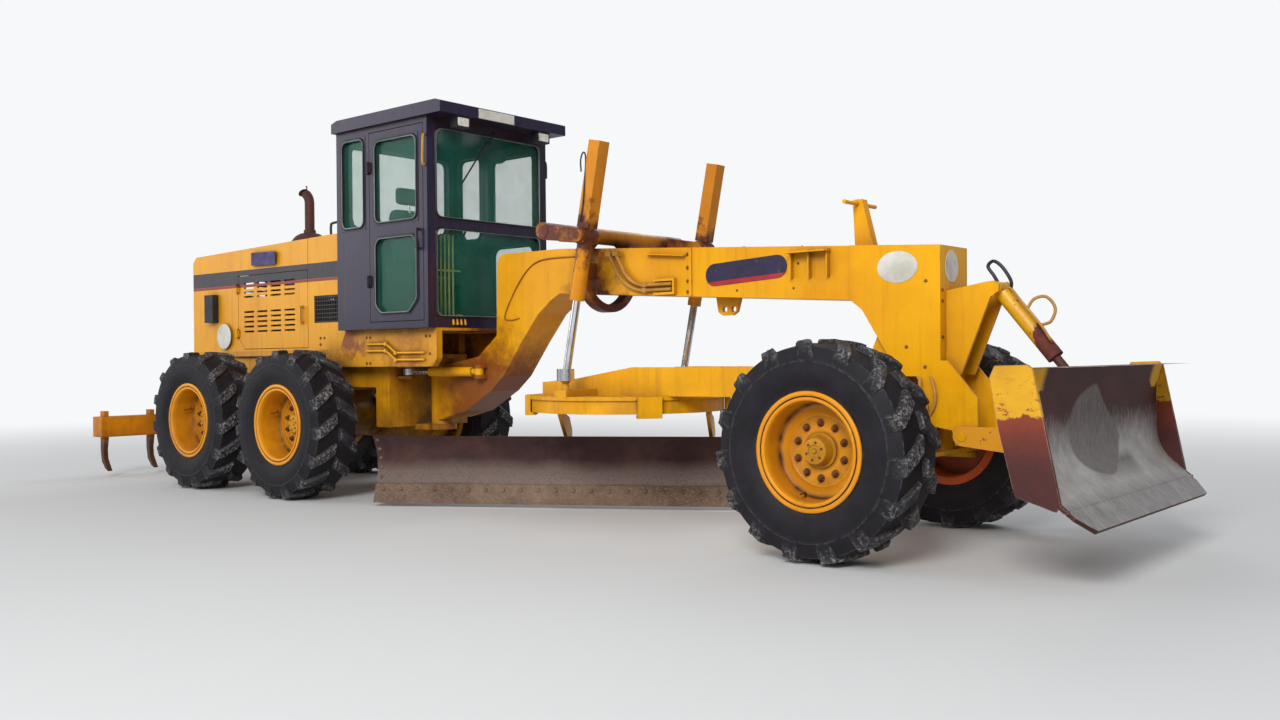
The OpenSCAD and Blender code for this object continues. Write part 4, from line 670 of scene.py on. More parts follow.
def hub_of(wheel):
    """The middle of a rim's box along X and Z, which is its axle."""
    low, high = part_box("rim_" + wheel)
    return 0.5 * (low[0] + high[0]), 0.5 * (low[2] + high[2])

WHEELS = ["r1", "l1", "r2", "l2", "r3", "l3"]
FRONT = ("r1", "l1")
for i, wheel in enumerate(WHEELS):
    x, z = hub_of(wheel)
    tyre = tyre_piece("tread_" + wheel, "tyre_" + wheel, x, z, "wheel_" + wheel, 11 + i)
    print(tyre.name, len(tyre.data.polygons), "faces, axle at", round(x, 3), round(z, 3))

# %% [markdown]
# ## Plates, bolts and bars
# Most small pieces are a stack of rings with the same number of points: two rings make a plate,
# five make a bolt head, and a ring at each point of a path makes a bar or a tube. One function
# joins the rings with four-sided faces and closes both ends.

# %% Rings into solids
def ring_faces(rings, around):
    """Corner numbers of a stack of rings: four-sided faces between them and one cap at each end."""
    r, c = np.meshgrid(np.arange(rings - 1), np.arange(around), indexing="ij")
    c2 = (c + 1) % around
    sides = np.stack([r * around + c, r * around + c2, (r + 1) * around + c2, (r + 1) * around + c], -1)
    caps = np.stack([np.arange(around)[::-1], (rings - 1) * around + np.arange(around)])
    return sides.reshape(-1, 4), caps

def stack(name, rings, material, body, crease=32.0, copies=None):
    """A solid through rings (rings, around, 3); copies (n, 3, 4) puts a turned copy at each frame."""
    rings = np.asarray(rings, float)
    sides, caps = ring_faces(*rings.shape[:2])
    flat = rings.reshape(-1, 3)
    if not looks_out(flat, sides):
        sides, caps = sides[:, ::-1], caps[:, ::-1]
    if copies is not None:
        shift = (np.arange(len(copies)) * len(flat))[:, None, None]
        flat = (np.einsum("nij,vj->nvi", copies[:, :, :3], flat) + copies[:, None, :, 3]).reshape(-1, 3)
        sides, caps = (sides + shift).reshape(-1, 4), (caps + shift).reshape(-1, caps.shape[1])
    obj = shaded(name, flat, sides.tolist() + caps.tolist(), material, crease)
    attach(obj, body)
    return obj

def circle(radius, height, around):
    """A ring of points round Z at a height."""
    t = np.arange(around) * 2 * math.pi / around
    return np.stack([radius * np.cos(t), radius * np.sin(t), np.full(around, height)], -1)

def turned(profile, around=24):
    """Rings of a turned piece from (radius, height) pairs."""
    return np.stack([circle(r, h, around) for r, h in profile])

def frames(places, direction):
    """A frame at each place, with its Z axis along direction."""
    z = np.asarray(direction, float) / np.linalg.norm(direction)
    x = np.cross([0, 0, 1] if abs(z[2]) < 0.9 else [1, 0, 0], z)
    x = x / np.linalg.norm(x)
    base = np.stack([x, np.cross(z, x), z], 1)
    places = np.atleast_2d(places)
    return np.concatenate([np.repeat(base[None], len(places), 0), places[:, :, None]], 2)

def rounded(width, height, corner, steps=5):
    """A rounded rectangle's outline about its middle, counter-clockwise."""
    t = np.linspace(0, math.pi / 2, steps)
    arc = np.stack([np.cos(t), np.sin(t)], -1) * corner
    signs = [(1, 1), (-1, 1), (-1, -1), (1, -1)]
    parts = [arc * s + np.multiply(s, (width / 2 - corner, height / 2 - corner)) for s in signs]
    return np.concatenate([p if s[0] * s[1] > 0 else p[::-1] for p, s in zip(parts, signs)])

def at_height(outline, z):
    """An outline's points (x, y) at one height."""
    return np.concatenate([outline, np.full((len(outline), 1), z)], 1)

def plate_rings(width, height, corner, thick, edge=0.001):
    """Three rings of a plate that lies on the XY plane, with a small chamfer round its face."""
    outer = rounded(width, height, corner)
    inner = rounded(width - 2 * edge, height - 2 * edge, max(corner - edge, 1e-4))
    return np.stack([at_height(outer, SINK), at_height(outer, thick - edge), at_height(inner, thick)])

def on_side(place, lean=0.0):
    """A frame on the right side: local X runs back to front, Y up, Z outwards, turned by lean."""
    x = np.array([math.cos(lean), 0, math.sin(lean)])
    outwards = np.array([0, -1, 0])
    return np.stack([x, np.cross(outwards, x), outwards, np.asarray(place, float)], 1)[None]

def tube_rings(path, radius, around=12):
    """A ring at each point of a path. Each ring's first direction is the last one's, laid flat again."""
    path = np.asarray(path, float)
    tangent = np.gradient(path, axis=0)
    tangent /= np.linalg.norm(tangent, axis=1)[:, None]
    side = np.cross(tangent[0], [0, 0, 1] if abs(tangent[0][2]) < 0.9 else [1, 0, 0])
    t = np.arange(around) * 2 * math.pi / around
    rings = []
    for p, d in zip(path, tangent):
        side = side - d * (side @ d)
        side /= np.linalg.norm(side)
        turned_side = np.cos(t)[:, None] * side + np.sin(t)[:, None] * np.cross(d, side)
        rings.append(p + radius * turned_side)
    return np.stack(rings)

def smooth_path(points, steps=8):
    """A smooth curve through every point: each stretch bends by its neighbours' directions."""
    p = np.asarray(points, float)
    p = np.concatenate([[2 * p[0] - p[1]], p, [2 * p[-1] - p[-2]]])
    t = np.linspace(0, 1, steps, endpoint=False)[:, None]
    parts = []
    for a, b, c, d in zip(p[:-3], p[1:-2], p[2:-1], p[3:]):
        square, cube = 2 * a - 5 * b + 4 * c - d, 3 * b - a - 3 * c + d
        parts.append(0.5 * ((2 * b) + (c - a) * t + square * t ** 2 + cube * t ** 3))
    return np.concatenate(parts + [p[-2:-1]])

HEX = turned([(0.017, SINK), (0.017, 0.009), (0.013, 0.012)], 6)
CUP = turned([(0.019, SINK), (0.018, 0.004), (0.013, 0.009), (0.006, 0.011)], 14)
print("bolt heads of", HEX.shape[1], "and", CUP.shape[1], "sides")

# %% [markdown]
# ### Bolts of the blade
# The cutting edge is bolted through the moldboard. The bolts' row follows the edge's own front
# face, which is found among its corner points once they are turned back by the blade's angle.
# A column of bolts at each end of the moldboard is laid on its curved face by a ray from the front.

# %% Bolts of the blade
BLADE_TURN = math.radians(29.5)
CIRCLE_X = AXLE_X - 2.370

def corners_of(node):
    """A node's corner points as an array (n, 3)."""
    co = np.empty(len(NODES[node].data.vertices) * 3)
    NODES[node].data.vertices.foreach_get("co", co)
    return co.reshape(-1, 3)

def to_blade(points):
    """Machine frame to blade frame: the circle's middle becomes the origin, X runs along the blade."""
    c, s = math.cos(BLADE_TURN), math.sin(BLADE_TURN)
    p = np.asarray(points) - [CIRCLE_X, 0, 0]
    return p @ np.array([[c, -s, 0], [s, c, 0], [0, 0, 1]])

def from_blade(points):
    """Blade frame to machine frame."""
    c, s = math.cos(BLADE_TURN), math.sin(BLADE_TURN)
    return np.asarray(points) @ np.array([[c, s, 0], [-s, c, 0], [0, 0, 1]]) + [CIRCLE_X, 0, 0]

edge = to_blade(corners_of("cutting_edge"))
front_top = edge[edge[:, 2] > 0.18][:, 1].min()      # the front face's place near its top edge
front_low = edge[edge[:, 2] < 0.04][:, 1].min()      # and near its low edge
TOP_Z, LOW_Z, BOLT_Z, PITCH_X = 0.190, 0.032, 0.145, 0.152
edge_x = np.arange(edge[:, 0].min() + 0.075, edge[:, 0].max() - 0.05, PITCH_X)
slope = (front_top - front_low) / (TOP_Z - LOW_Z)
bolt_y = front_top - slope * (TOP_Z - BOLT_Z)
row = np.stack([edge_x, np.full_like(edge_x, bolt_y), np.full_like(edge_x, BOLT_Z)], -1)
out_of_face = from_blade([[0, -1, slope]])[0] - from_blade([[0, 0, 0]])[0]
stack("edge_bolts", CUP, edge_steel, "blade", copies=frames(from_blade(row), out_of_face))
print("edge bolts", len(row))

def on_front(node, spots):
    """Frames on a node's front face: a line through each (x, z) of the blade frame meets it from
    the front, and the frame's Z axis is the face's own direction there."""
    faces = [list(polygon.vertices) for polygon in NODES[node].data.polygons]
    tree = BVHTree.FromPolygons(corners_of(node).tolist(), faces)
    ahead = from_blade([[0, 1, 0]])[0] - from_blade([[0, 0, 0]])[0]
    hits = [tree.ray_cast(from_blade([[x, -1.0, z]])[0].tolist(), ahead.tolist()) for x, z in spots]
    return np.concatenate([frames([list(hit[0])], list(hit[1])) for hit in hits])

mold_x = to_blade(corners_of("moldboard"))[:, 0]
FROM_END = 0.035
ends = (mold_x.min() + FROM_END, mold_x.max() - FROM_END)
columns = on_front("moldboard", [(x, z) for x in ends for z in (0.245, 0.325, 0.405, 0.485, 0.565)])
stack("end_bolts", CUP * 0.9, edge_steel, "blade", copies=columns)
print("end bolts", len(columns), "first at", columns[0, :, 3].round(3), "facing",
      columns[0, :, 2].round(2))

# %% [markdown]
# ### Plates without words
# Stickers and name plates of the real machine are bare here: plain plates and discs in their
# colours, where the photo shows them.

# %% Plates without words
def flat_paint(name, color, worn, rough=0.45):
    """A printed plate: one colour with fading clouds and pale scratches."""
    f = Finish(name)
    clouds = f.ramp(f.noise(6, 6, 0.6), 0.4, 0.7)
    scratch = f.ramp(f.noise(30, 6, 0.7, f.stretch(1, 1, 0.3)), 0.62, 0.72)
    f.bump(f.noise(120, 3), 0.1, 0.0005)
    return f.done(f.blend(scratch, f.blend(clouds, color, worn), "#9A938A"),
                  f.ramp(clouds, 0, 1, rough, 0.7))

plum = flat_paint("plum_plate", "#2B2142", "#201A34")
dusk = flat_paint("blue_plate", "#3A2A66", "#2C2352")
pale = flat_paint("pale_disc", "#D9D6CC", "#B9B4A6", 0.55)
red = flat_paint("red_line", "#B3202A", "#8A1820")
HOOD_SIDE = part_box("hood")[0][1]
BEAM_HALF, NOSE_HALF, SILL_HALF, ROOF_Z = 0.170, 0.200, 0.620, 3.410

def side_plate(name, x, y, z, width, height, corner, thick, material, body, lean=0.0):
    """A blank plate on the right side of the machine, x ahead of the front axle."""
    frame_here = on_side((AXLE_X + x, y, z), lean)
    return stack(name, plate_rings(width, height, corner, thick), material, body, copies=frame_here)

FALL = math.radians(3.4)                             # how much the beam's top falls forward
PLATE = {"x": -1.105, "z": 1.863, "long": 0.71, "high": 0.165}

def below_line(points, line):
    """The part of a convex outline under a height: points above it are brought down to it."""
    return np.stack([points[:, 0], np.minimum(points[:, 1], line)], -1)

side_plate("beam_plate", PLATE["x"], -BEAM_HALF, PLATE["z"], PLATE["long"], PLATE["high"], 0.082, 0.003,
           plum, "front_frame", FALL)
stripe = rounded(PLATE["long"] - 0.004, PLATE["high"] - 0.004, 0.080, 9)
stripe = below_line(stripe, -PLATE["high"] / 2 + 0.034)
stack("beam_plate_stripe", [at_height(stripe, z) for z in (SINK, 0.0045)], red, "front_frame",
      copies=on_side((AXLE_X + PLATE["x"], -BEAM_HALF, PLATE["z"]), FALL))
side_plate("hood_plate", -6.705, HOOD_SIDE, 2.278, 0.43, 0.13, 0.006, 0.004, dusk,
           "rear_frame", math.radians(-1.5))
disc = turned([(0.131, SINK), (0.131, 0.002), (0.129, 0.003)], 48)
stack("hood_disc", disc, pale, "rear_frame",
      copies=on_side((AXLE_X - 7.45, HOOD_SIDE, 1.51)))
stack("nose_oval", disc * [1.10, 0.79, 1.0], pale, "front_frame",
      copies=on_side((AXLE_X + 0.11, -NOSE_HALF, 1.82)))
print("plates made; hood side at", round(HOOD_SIDE, 3))

# %% [markdown]
# ### Seat
# The seat is three stuffed cushions on a plain base. A cushion is a flattened ball whose
# outline is nearly a rectangle: each direction is raised to a small power, which keeps the
# middle full and pulls the corners in. Sewn channels are shallow valleys across it.

# %% Seat
def cushion(name, center, size, tilt, channels):
    """A stuffed cushion: a squared ball of the size given, with sewn channels, turned about Y."""
    rows, cols = 40, 72
    half = np.asarray(size) / 2
    v = (np.arange(rows) + 0.5) / rows * math.pi - math.pi / 2
    u = np.arange(cols) / cols * 2 * math.pi
    power = lambda w, e: np.sign(w) * np.abs(w) ** e
    x = power(np.cos(v), 0.55)[:, None] * power(np.cos(u), 0.35)[None]
    y = power(np.cos(v), 0.55)[:, None] * power(np.sin(u), 0.35)[None]
    z = power(np.sin(v), 0.8)[:, None] * np.ones(cols)[None]
    crown = 1 - 0.18 * (x ** 2 + y ** 2)
    valley = 1 - 0.10 * np.exp(-((((x + 1) * channels / 2) % 1.0) - 0.5) ** 2 * 90) * (np.abs(y) < 0.86)
    p = np.stack([x, y, z * crown * valley], -1) * half
    c, s = math.cos(tilt), math.sin(tilt)
    p = p @ np.array([[c, 0, -s], [0, 1, 0], [s, 0, c]]) + center
    obj = stack(name, p, seat_cloth, "rear_frame", crease=60)
    return obj

seat_low, seat_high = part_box("seat")
FLOOR = seat_low[2]
seat_x = AXLE_X - 4.8
pan = cushion("seat_cushion", (seat_x + 0.01, 0, FLOOR + 0.385), (0.50, 0.50, 0.125), 0.0, 5)
back = cushion("seat_back", (seat_x - 0.255, 0, FLOOR + 0.755), (0.66, 0.46, 0.115), math.radians(-97.0),
               6)
head = cushion("seat_head_rest", (seat_x - 0.288, 0, FLOOR + 1.21), (0.16, 0.28, 0.095),
               math.radians(-93.0), 1)
steps = ((0.30, 0.26, 0.002), (0.30, 0.26, 0.05), (0.20, 0.20, 0.06), (0.20, 0.20, 0.28),
         (0.40, 0.42, 0.30), (0.40, 0.42, 0.335))
base_rings = np.stack([at_height(rounded(w, d, 0.02), FLOOR + h) + [seat_x, 0, 0] for w, d, h in steps])
base = stack("seat_base", base_rings, iron, "rear_frame", crease=30)
neck = stack("seat_head_rod", tube_rings([(seat_x - 0.27, 0, FLOOR + 1.04),
                                          (seat_x - 0.285, 0, FLOOR + 1.18)], 0.012), rod, "rear_frame")
for piece in (pan, back, head, base, neck):
    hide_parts("seat")
print("seat from", tuple(round(c, 3) for c in seat_low), "to", tuple(round(c, 3) for c in seat_high))

# %% [markdown]
# ### Rims, nuts and hub caps
# A rim is one profile turned about the axle: flange, lock ring with its gap, deep barrel and
# disc. The profile is a closed loop, so the turned surface is closed as well. Each of its points
# carries a number for grease and painted shade, so the gap and the corner of the disc are painted
# dark all the way round: grease, and painted shade where these recesses see little light.

# %% Rims
def rim_profile(dish):
    """(radius, place outwards, grease and painted shade) round the section; dish is where the disc
    stands.
    """
    outer = [(.3175, .1650, 0), (.3460, .1815, 0), (.3600, .1835, 0), (.3645, .1880, 0),
             (.3650, .1945, 0), (.3610, .1990, 0), (.3500, .2005, 0), (.3380, .1985, .2),
             (.3345, .1950, 1), (.3335, .1860, 1), (.3300, .1860, 1), (.3290, .1960, .9),
             (.3260, .1985, .1), (.3120, .1975, 0), (.3050, .1900, .1), (.3010, .1500, .25),
             (.2985, .0900, .2)]
    disc = [(.2960, dish + .040, .5), (.2900, dish + .018, 1), (.2820, dish + .009, .8),
            (.2650, dish + .006, .2), (.2300, dish + .005, 0), (.2240, dish + .011, .1),
            (.2160, dish + .012, .1), (.2100, dish + .006, .4), (.1300, dish + .006, .1),
            (.1100, dish + .006, .7), (.0500, dish + .006, 1)]
    back = [(.0500, dish - .014, 1), (.2300, dish - .014, .3), (.2930, dish - .030, .9),
            (.2985, -.0900, .3), (.3030, -.1850, .2), (.3100, -.1970, 0), (.3500, -.2000, 0),
            (.3620, -.1975, 0), (.3650, -.1900, 0), (.3600, -.1835, 0), (.3460, -.1815, 0),
            (.3175, -.1650, 0), (.3165, 0, 0)]
    return np.array(outer + disc + back)

RIM = {"around": 96, "half_width": 0.197, "nuts": 10, "nut_circle": 0.168}

def rim_piece(wheel, dish, paint):
    """A wheel's rim with its nuts, hub cap, cap bolts and valve; dish is where the disc stands."""
    x, z = hub_of(wheel)
    low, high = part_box("rim_" + wheel)
    if abs(low[1]) > abs(high[1]):
        middle, side = high[1] - RIM["half_width"], -1
    else:
        middle, side = low[1] + RIM["half_width"], 1
    profile = rim_profile(dish)
    t = np.arange(RIM["around"]) * 2 * math.pi / RIM["around"]
    r, across, grease = profile.T
    points = np.stack([x + r[:, None] * np.cos(t), middle + side * across[:, None] + 0 * t,
                       z + r[:, None] * np.sin(t)], -1)
    rim = closed_grid("rim_face_" + wheel, points, paint, crease=50)
    carry(rim, "grease", np.repeat(grease, RIM["around"]))
    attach(rim, "wheel_" + wheel)
    face = middle + side * (dish + 0.006)
    a = (np.arange(RIM["nuts"]) + 0.5) * 2 * math.pi / RIM["nuts"]
    spots = np.stack([x + RIM["nut_circle"] * np.cos(a), np.full(len(a), face),
                      z + RIM["nut_circle"] * np.sin(a)], -1)
    nut = turned([(0.026, SINK), (0.025, 0.003), (0.020, 0.006), (0.0175, 0.0062), (0.0175, 0.021),
                  (0.015, 0.024), (0.0105, 0.0242), (0.0105, 0.033), (0.008, 0.0345)], 12)
    # The nut's two rings get six sides: a hexagon is cos(30) / cos(angle from a side's middle) wide
    sixth = math.pi / 6
    corner = np.cos(sixth) / np.cos((np.arange(12) * sixth + sixth) % (math.pi / 3) - sixth)
    nut[3:5, :, :2] *= (corner / 0.93)[:, None]
    nuts = stack("wheel_nuts_" + wheel, nut, nut_iron, "wheel_" + wheel,
                 copies=frames(spots, (0, side, 0)))
    tall = 0.080 if wheel in FRONT else 0.060
    cap = turned([(0.108, -0.006), (0.108, 0.010), (0.103, 0.014), (0.094, 0.014), (0.090, 0.020),
                  (0.084, tall - 0.012), (0.078, tall), (0.068, tall + 0.004), (0.040, tall + 0.006),
                  (0.036, tall + 0.001), (0.016, tall - 0.001), (0.013, tall + 0.006),
                  (0.008, tall + 0.008)], 40)
    hub = frames([(x, face, z)], (0, side, 0))
    cap = stack("hub_cap_" + wheel, cap, cap_paint, "wheel_" + wheel, copies=hub)
    a = np.arange(6) * math.pi / 3 + 0.3
    spots = np.stack([x + 0.054 * np.cos(a), np.full(6, face + side * (tall + 0.004)),
                      z + 0.054 * np.sin(a)], -1)
    bolts = stack("cap_bolts_" + wheel, HEX * [0.42, 0.42, 0.7], nut_iron, "wheel_" + wheel,
                  copies=frames(spots, (0, side, 0)))
    # The valve's stem stands off the barrel and bends outwards
    down = -1.87 if wheel in FRONT else 2.75
    stem = smooth_path([(x + radius * math.cos(down + turn), middle + side * (dish + out),
                         z + radius * math.sin(down + turn))
                        for radius, turn, out in ((0.300, 0, 0.05), (0.272, 0, 0.06), (0.262, 0.02, 0.10),
                                                  (0.266, 0.04, 0.135))], 5)
    valve = stack("valve_" + wheel, tube_rings(stem, 0.006, 8), nut_iron, "wheel_" + wheel)
    for piece in (rim, nuts, cap, bolts, valve):
        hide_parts("rim_" + wheel)
    return rim

for wheel in WHEELS:
    dish = 0.030 if wheel in FRONT else -0.040
    rim = rim_piece(wheel, dish, orange if wheel == "l1" else amber)
print("rims", len(WHEELS), "of", len(rim.data.polygons), "faces each")

# %% [markdown]
# ### Window seals
# The solids' window openings are square, but the real panes have rounded corners in a rubber
# seal. Each opening gets a ring plate whose inner outline is rounded, a round bead of rubber on it,
# and a thin pale grey bead along the rubber that is a painted highlight. A corner is rounded by a
# short curve between the points at equal distances from it.

# %% Window seals
def unit(w):
    """Rows of w, each divided by its length."""
    return w / np.linalg.norm(w, axis=1)[:, None]

def soft_outline(corners, cut, steps=6):
    """A convex outline with each corner c rounded off: the curve (1-t)^2 a + 2t(1-t) c + t^2 d."""
    p = np.asarray(corners, float)
    before, after = np.roll(p, 1, 0) - p, np.roll(p, -1, 0) - p
    a, d = p + cut * unit(before), p + cut * unit(after)
    t = np.linspace(0, 1, steps)[None, :, None]
    return ((1 - t) ** 2 * a[:, None] + 2 * t * (1 - t) * p[:, None] + t ** 2 * d[:, None]).reshape(-1, 2)

def inset(corners, amount):
    """An outline moved inwards: every corner slides along its two edges' shared bisector."""
    p = np.asarray(corners, float)
    a, b = unit(p - np.roll(p, 1, 0)), unit(np.roll(p, -1, 0) - p)
    turn = 1 if (a[:, 0] * b[:, 1] - a[:, 1] * b[:, 0]).sum() > 0 else -1
    na, nb = np.stack([-a[:, 1], a[:, 0]], 1) * turn, np.stack([-b[:, 1], b[:, 0]], 1) * turn
    return p + amount * (na + nb) / (1 + (na * nb).sum(1))[:, None]

def in_wall(outline, wall, depth, side):
    """Outline points (a, z) to places: wall "side" has a along X, wall "end" has a along Y."""
    a, z, d = outline[:, 0], outline[:, 1], np.full(len(outline), depth)
    return np.stack([AXLE_X + a, side * d, z], -1) if wall == "side" else np.stack([d, a, z], -1)

def sealed_window(name, corners, wall, face, side, body, cut=0.07, deep=0.055):
    """A painted ring plate that rounds the opening, a rubber bead where the pane sits, and a thin pale
    bead on it that is a painted highlight.
    """
    hole, lip = soft_outline(inset(corners, -0.004), 0.004), soft_outline(inset(corners, 0.014), cut)
    outwards = 1 if wall == "side" else side
    back, rise = face - outwards * deep, outwards * 0.004
    section = ((hole, face + rise), (lip, face + rise), (lip, back), (hole, back))
    plate = np.stack([in_wall(outline, wall, depth, side) for outline, depth in section])
    ring = closed_grid(name + "_frame", plate, ink, crease=30)
    t = np.arange(8) * math.pi / 4
    beads = []
    # The second bead, thin and pale grey, is a painted highlight along the rubber.
    for part, radius, tone, shift, lift in (("_bead", 0.011, seal_black, 0.0, 1.2),
                                            ("_line", 0.0045, seal_highlight, 0.011, 2.4)):
        middle = soft_outline(inset(corners, 0.015 + shift * 0.6), cut)
        out = unit(middle - middle.mean(0))
        rows = [in_wall(middle + radius * math.cos(a) * out, wall,
                        face + rise * lift + radius * math.sin(a) * outwards, side) for a in t]
        beads.append(closed_grid(name + part, np.stack(rows), tone, crease=60))
    for piece, slot in zip([ring] + beads, ("blue_paint", "black_plastic", "black_plastic")):
        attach(piece, body)

seal_black = dull_plastic("seal_rubber", "#101014", "#1C1E22", 0.35)
# Pale grey for the thin bead along the seal, a painted highlight.
seal_highlight = dull_plastic("seal_edge", "#6E7C78", "#8E9C96", 0.45)
box4 = lambda x0, x1, z0, z1: [(x0, z0), (x1, z0), (x1, z1), (x0, z1)]
LIGHT = [(-4.679, 1.720), (-4.589, 1.640), (-4.196, 1.640), (-4.076, 1.760), (-4.076, 2.260),
         (-4.136, 2.330), (-4.619, 2.330), (-4.679, 2.270)]
CAB_SIDE, FRONT_WALL, BACK_WALL = 0.710, AXLE_X - 3.960, AXLE_X - 5.220
for side, name in SIDES:
    sealed_window("rear_quarter_" + name, box4(-5.150, -4.800, 2.410, 3.230), "side", CAB_SIDE, side,
                  "rear_frame")
    sealed_window("door_top_" + name, box4(-4.679, -4.076, 2.430, 3.180), "side", CAB_SIDE, side,
                  "door_" + name)
    sealed_window("door_low_" + name, LIGHT, "side", CAB_SIDE, side, "door_" + name, cut=0.03)
sealed_window("windscreen", box4(-0.635, 0.635, 2.440, 3.230), "end", FRONT_WALL, 1, "rear_frame")
sealed_window("low_screen", box4(-0.635, 0.635, 1.600, 2.380), "end", FRONT_WALL, 1, "rear_frame",
              cut=0.06)
sealed_window("rear_screen", box4(-0.590, 0.590, 2.460, 3.210), "end", BACK_WALL, -1, "rear_frame")

# %% [markdown]
# ### Cab fittings
# The small things that tell a cab from a glass box: work lamps with a lens, a blank plate on the
# visor, the wiper, the inside mirror, the mirror arm and the rods of the blade levers behind the
# lower screen.

# %% Cab fittings
def lens_glass(name):
    """A ribbed lamp lens: pale, glossy, with fine vertical ribs as bump."""
    f = Finish(name)
    ribs = f.math("SINE", f.axis("Y") * 420.0)
    f.bump(ribs, 0.35, 0.001)
    return f.done(f.blend(f.ramp(f.noise(22, 4), 0.35, 0.65), "#E8E6DA", "#C6C2B0"), 0.12)

lens_pale = lens_glass("lamp_lens")
lens_red = flat_paint("tail_lens", "#9A1C14", "#6E1812", 0.25)
lever_tone = flat_paint("lever_paint", "#B9B45A", "#8E8A3A", 0.45)
VISOR = AXLE_X - 3.740
ahead = lambda x, y, z: frames([(x, y, z)], (1, 0, 0))

def pane(width, height, corner, thick):
    """A rounded plate that stands upright when a frame points it along X: wide along Y."""
    return plate_rings(height, width, corner, thick, 0.0008)[:, :, [1, 0, 2]] * [1, -1, 1]

stack("visor_plate", pane(0.415, 0.082, 0.004, 0.004), pale, "rear_frame",
      copies=ahead(VISOR, -0.112, 3.344))
for side, name in SIDES:
    stack("work_lens_" + name, pane(0.120, 0.069, 0.008, 0.009), lens_pale, "rear_frame",
          copies=ahead(VISOR - 0.0225, side * 0.480, 3.2485))
for side, name in SIDES:
    for low, high in ((1.692, 1.798), (1.817, 1.923)):
        stack(f"tail_lens_{name}_{int(high * 100)}", pane(0.043, high - low, 0.004, 0.012), lens_red,
              "rear_frame",
              copies=frames([(AXLE_X - 7.741, side * 0.535, 0.5 * (low + high))], (-1, 0, 0)))

def bent_rod(name, path, steps, radius, around, material=black):
    """A thin rod of the cab along a smooth path."""
    return stack(name, tube_rings(smooth_path(path, steps), radius, around), material, "rear_frame")

wiper_at = FRONT_WALL + 0.022
arm_path = [(FRONT_WALL, 0.04, 3.255), (wiper_at, 0.04, 3.252), (wiper_at + 0.012, 0.0, 3.20),
            (wiper_at + 0.010, -0.16, 3.00)]
bent_rod("wiper_arm", arm_path, 6, 0.006, 8)
blade_path = [(wiper_at - 0.008, -0.035, 3.165), (wiper_at - 0.006, -0.16, 3.00),
              (wiper_at - 0.008, -0.335, 2.765)]
bent_rod("wiper_blade", blade_path, 6, 0.0075, 6)
mirror = turned([(0.030, -0.020), (0.075, -0.010), (0.088, 0.000), (0.086, 0.006), (0.060, 0.011),
                 (0.02, 0.013)], 28)
stack("inside_mirror", mirror * [1, 0.72, 1], black, "rear_frame",
      copies=frames([(FRONT_WALL - 0.14, 0.235, 3.085)], (0.9, -0.35, -0.1)))
inside_arm = [(FRONT_WALL - 0.058, 0.20, 3.19), (FRONT_WALL - 0.10, 0.22, 3.17),
              (FRONT_WALL - 0.15, 0.235, 3.10)]
bent_rod("inside_mirror_arm", inside_arm, 5, 0.006, 8)
mirror_arm = [(FRONT_WALL - 0.03, 0.700, 3.080), (FRONT_WALL - 0.03, 0.735, 3.085),
              (FRONT_WALL - 0.02, 0.738, 3.04), (FRONT_WALL - 0.02, 0.738, 2.93)]
bent_rod("mirror_arm", mirror_arm, 6, 0.009, 10)
lever_y = np.array([-0.50, -0.455, -0.41, -0.365, -0.32])
rods = frames(np.stack([np.full(5, FRONT_WALL - 0.13), lever_y, np.full(5, 1.585)], -1), (0, 0, 1))
stack("lever_rods", turned([(0.007, 0), (0.007, 0.70), (0.011, 0.705), (0.012, 0.74), (0.006, 0.75)],
                           10), lever_tone, "rear_frame", copies=rods)
stack("lever_rail", tube_rings([(FRONT_WALL - 0.13, -0.60, 2.02), (FRONT_WALL - 0.13, -0.24, 2.02)],
                               0.008, 8), lever_tone, "rear_frame")
handle = [(AXLE_X - 3.985, -0.712, 3.14), (AXLE_X - 3.975, -0.735, 3.13), (AXLE_X - 3.975, -0.742, 3.02),
          (AXLE_X - 3.985, -0.735, 2.90), (AXLE_X - 3.985, -0.712, 2.89)]
bent_rod("post_handle", handle, 6, 0.011, 10, hose_tan)
print("cab fittings made")

# %% [markdown]
# ### Bolts on the frame
# Bolt heads sit where the photo shows them: round the flange, along the beam's upper edge and on
# the nose. A row of places goes through the same copying call, so each group is one piece.

# %% Bolts on the frame
def bolt_group(name, places, direction, body, shape=HEX, size=0.8):
    """Bolt heads at places, pushed out along one direction."""
    return stack(name, shape * size, nut_iron, body, copies=frames(places, direction))

beam_top = lambda x: 1.970 - x * math.tan(FALL)
flange_z = [beam_top(-1.6) - d for d in (0.05, 0.15, 0.25, 0.33)]
nose = [(0.31, 1.72), (0.17, 1.30), (0.30, 1.17)]
marks = [(-0.66, 1.89), (-0.70, 1.72), (-1.18, 1.725), (-0.235, 1.69)]
sill = [(-5.62, 1.46), (-5.56, 1.46), (-5.62, 1.40), (-4.92, 1.45), (-4.87, 1.45), (-4.92, 1.22),
        (-4.87, 1.22), (-4.10, 1.45), (-4.05, 1.45), (-4.05, 1.30)]
for side, name in SIDES:
    y = side * BEAM_HALF
    bolt_group("flange_bolts_" + name, [(AXLE_X - 1.622, y + side * 0.004, z) for z in flange_z],
               (0, side, 0), "front_frame")
    bolt_group("nose_bolts_" + name, [(AXLE_X + x, side * NOSE_HALF, z) for x, z in nose],
               (0, side, 0), "front_frame", CUP, 0.62)
    bolt_group("beam_bolts_" + name, [(AXLE_X + x, y, z) for x, z in marks],
               (0, side, 0), "front_frame", CUP, 0.5)
    bolt_group("sill_bolts_" + name, [(AXLE_X + x, side * SILL_HALF, z) for x, z in sill],
               (0, side, 0), "rear_frame", CUP, 0.7)
upper = [(AXLE_X + x, y, beam_top(x)) for x in (-2.2, -1.75, -1.13, -0.64) for y in (-0.15, 0.15)]
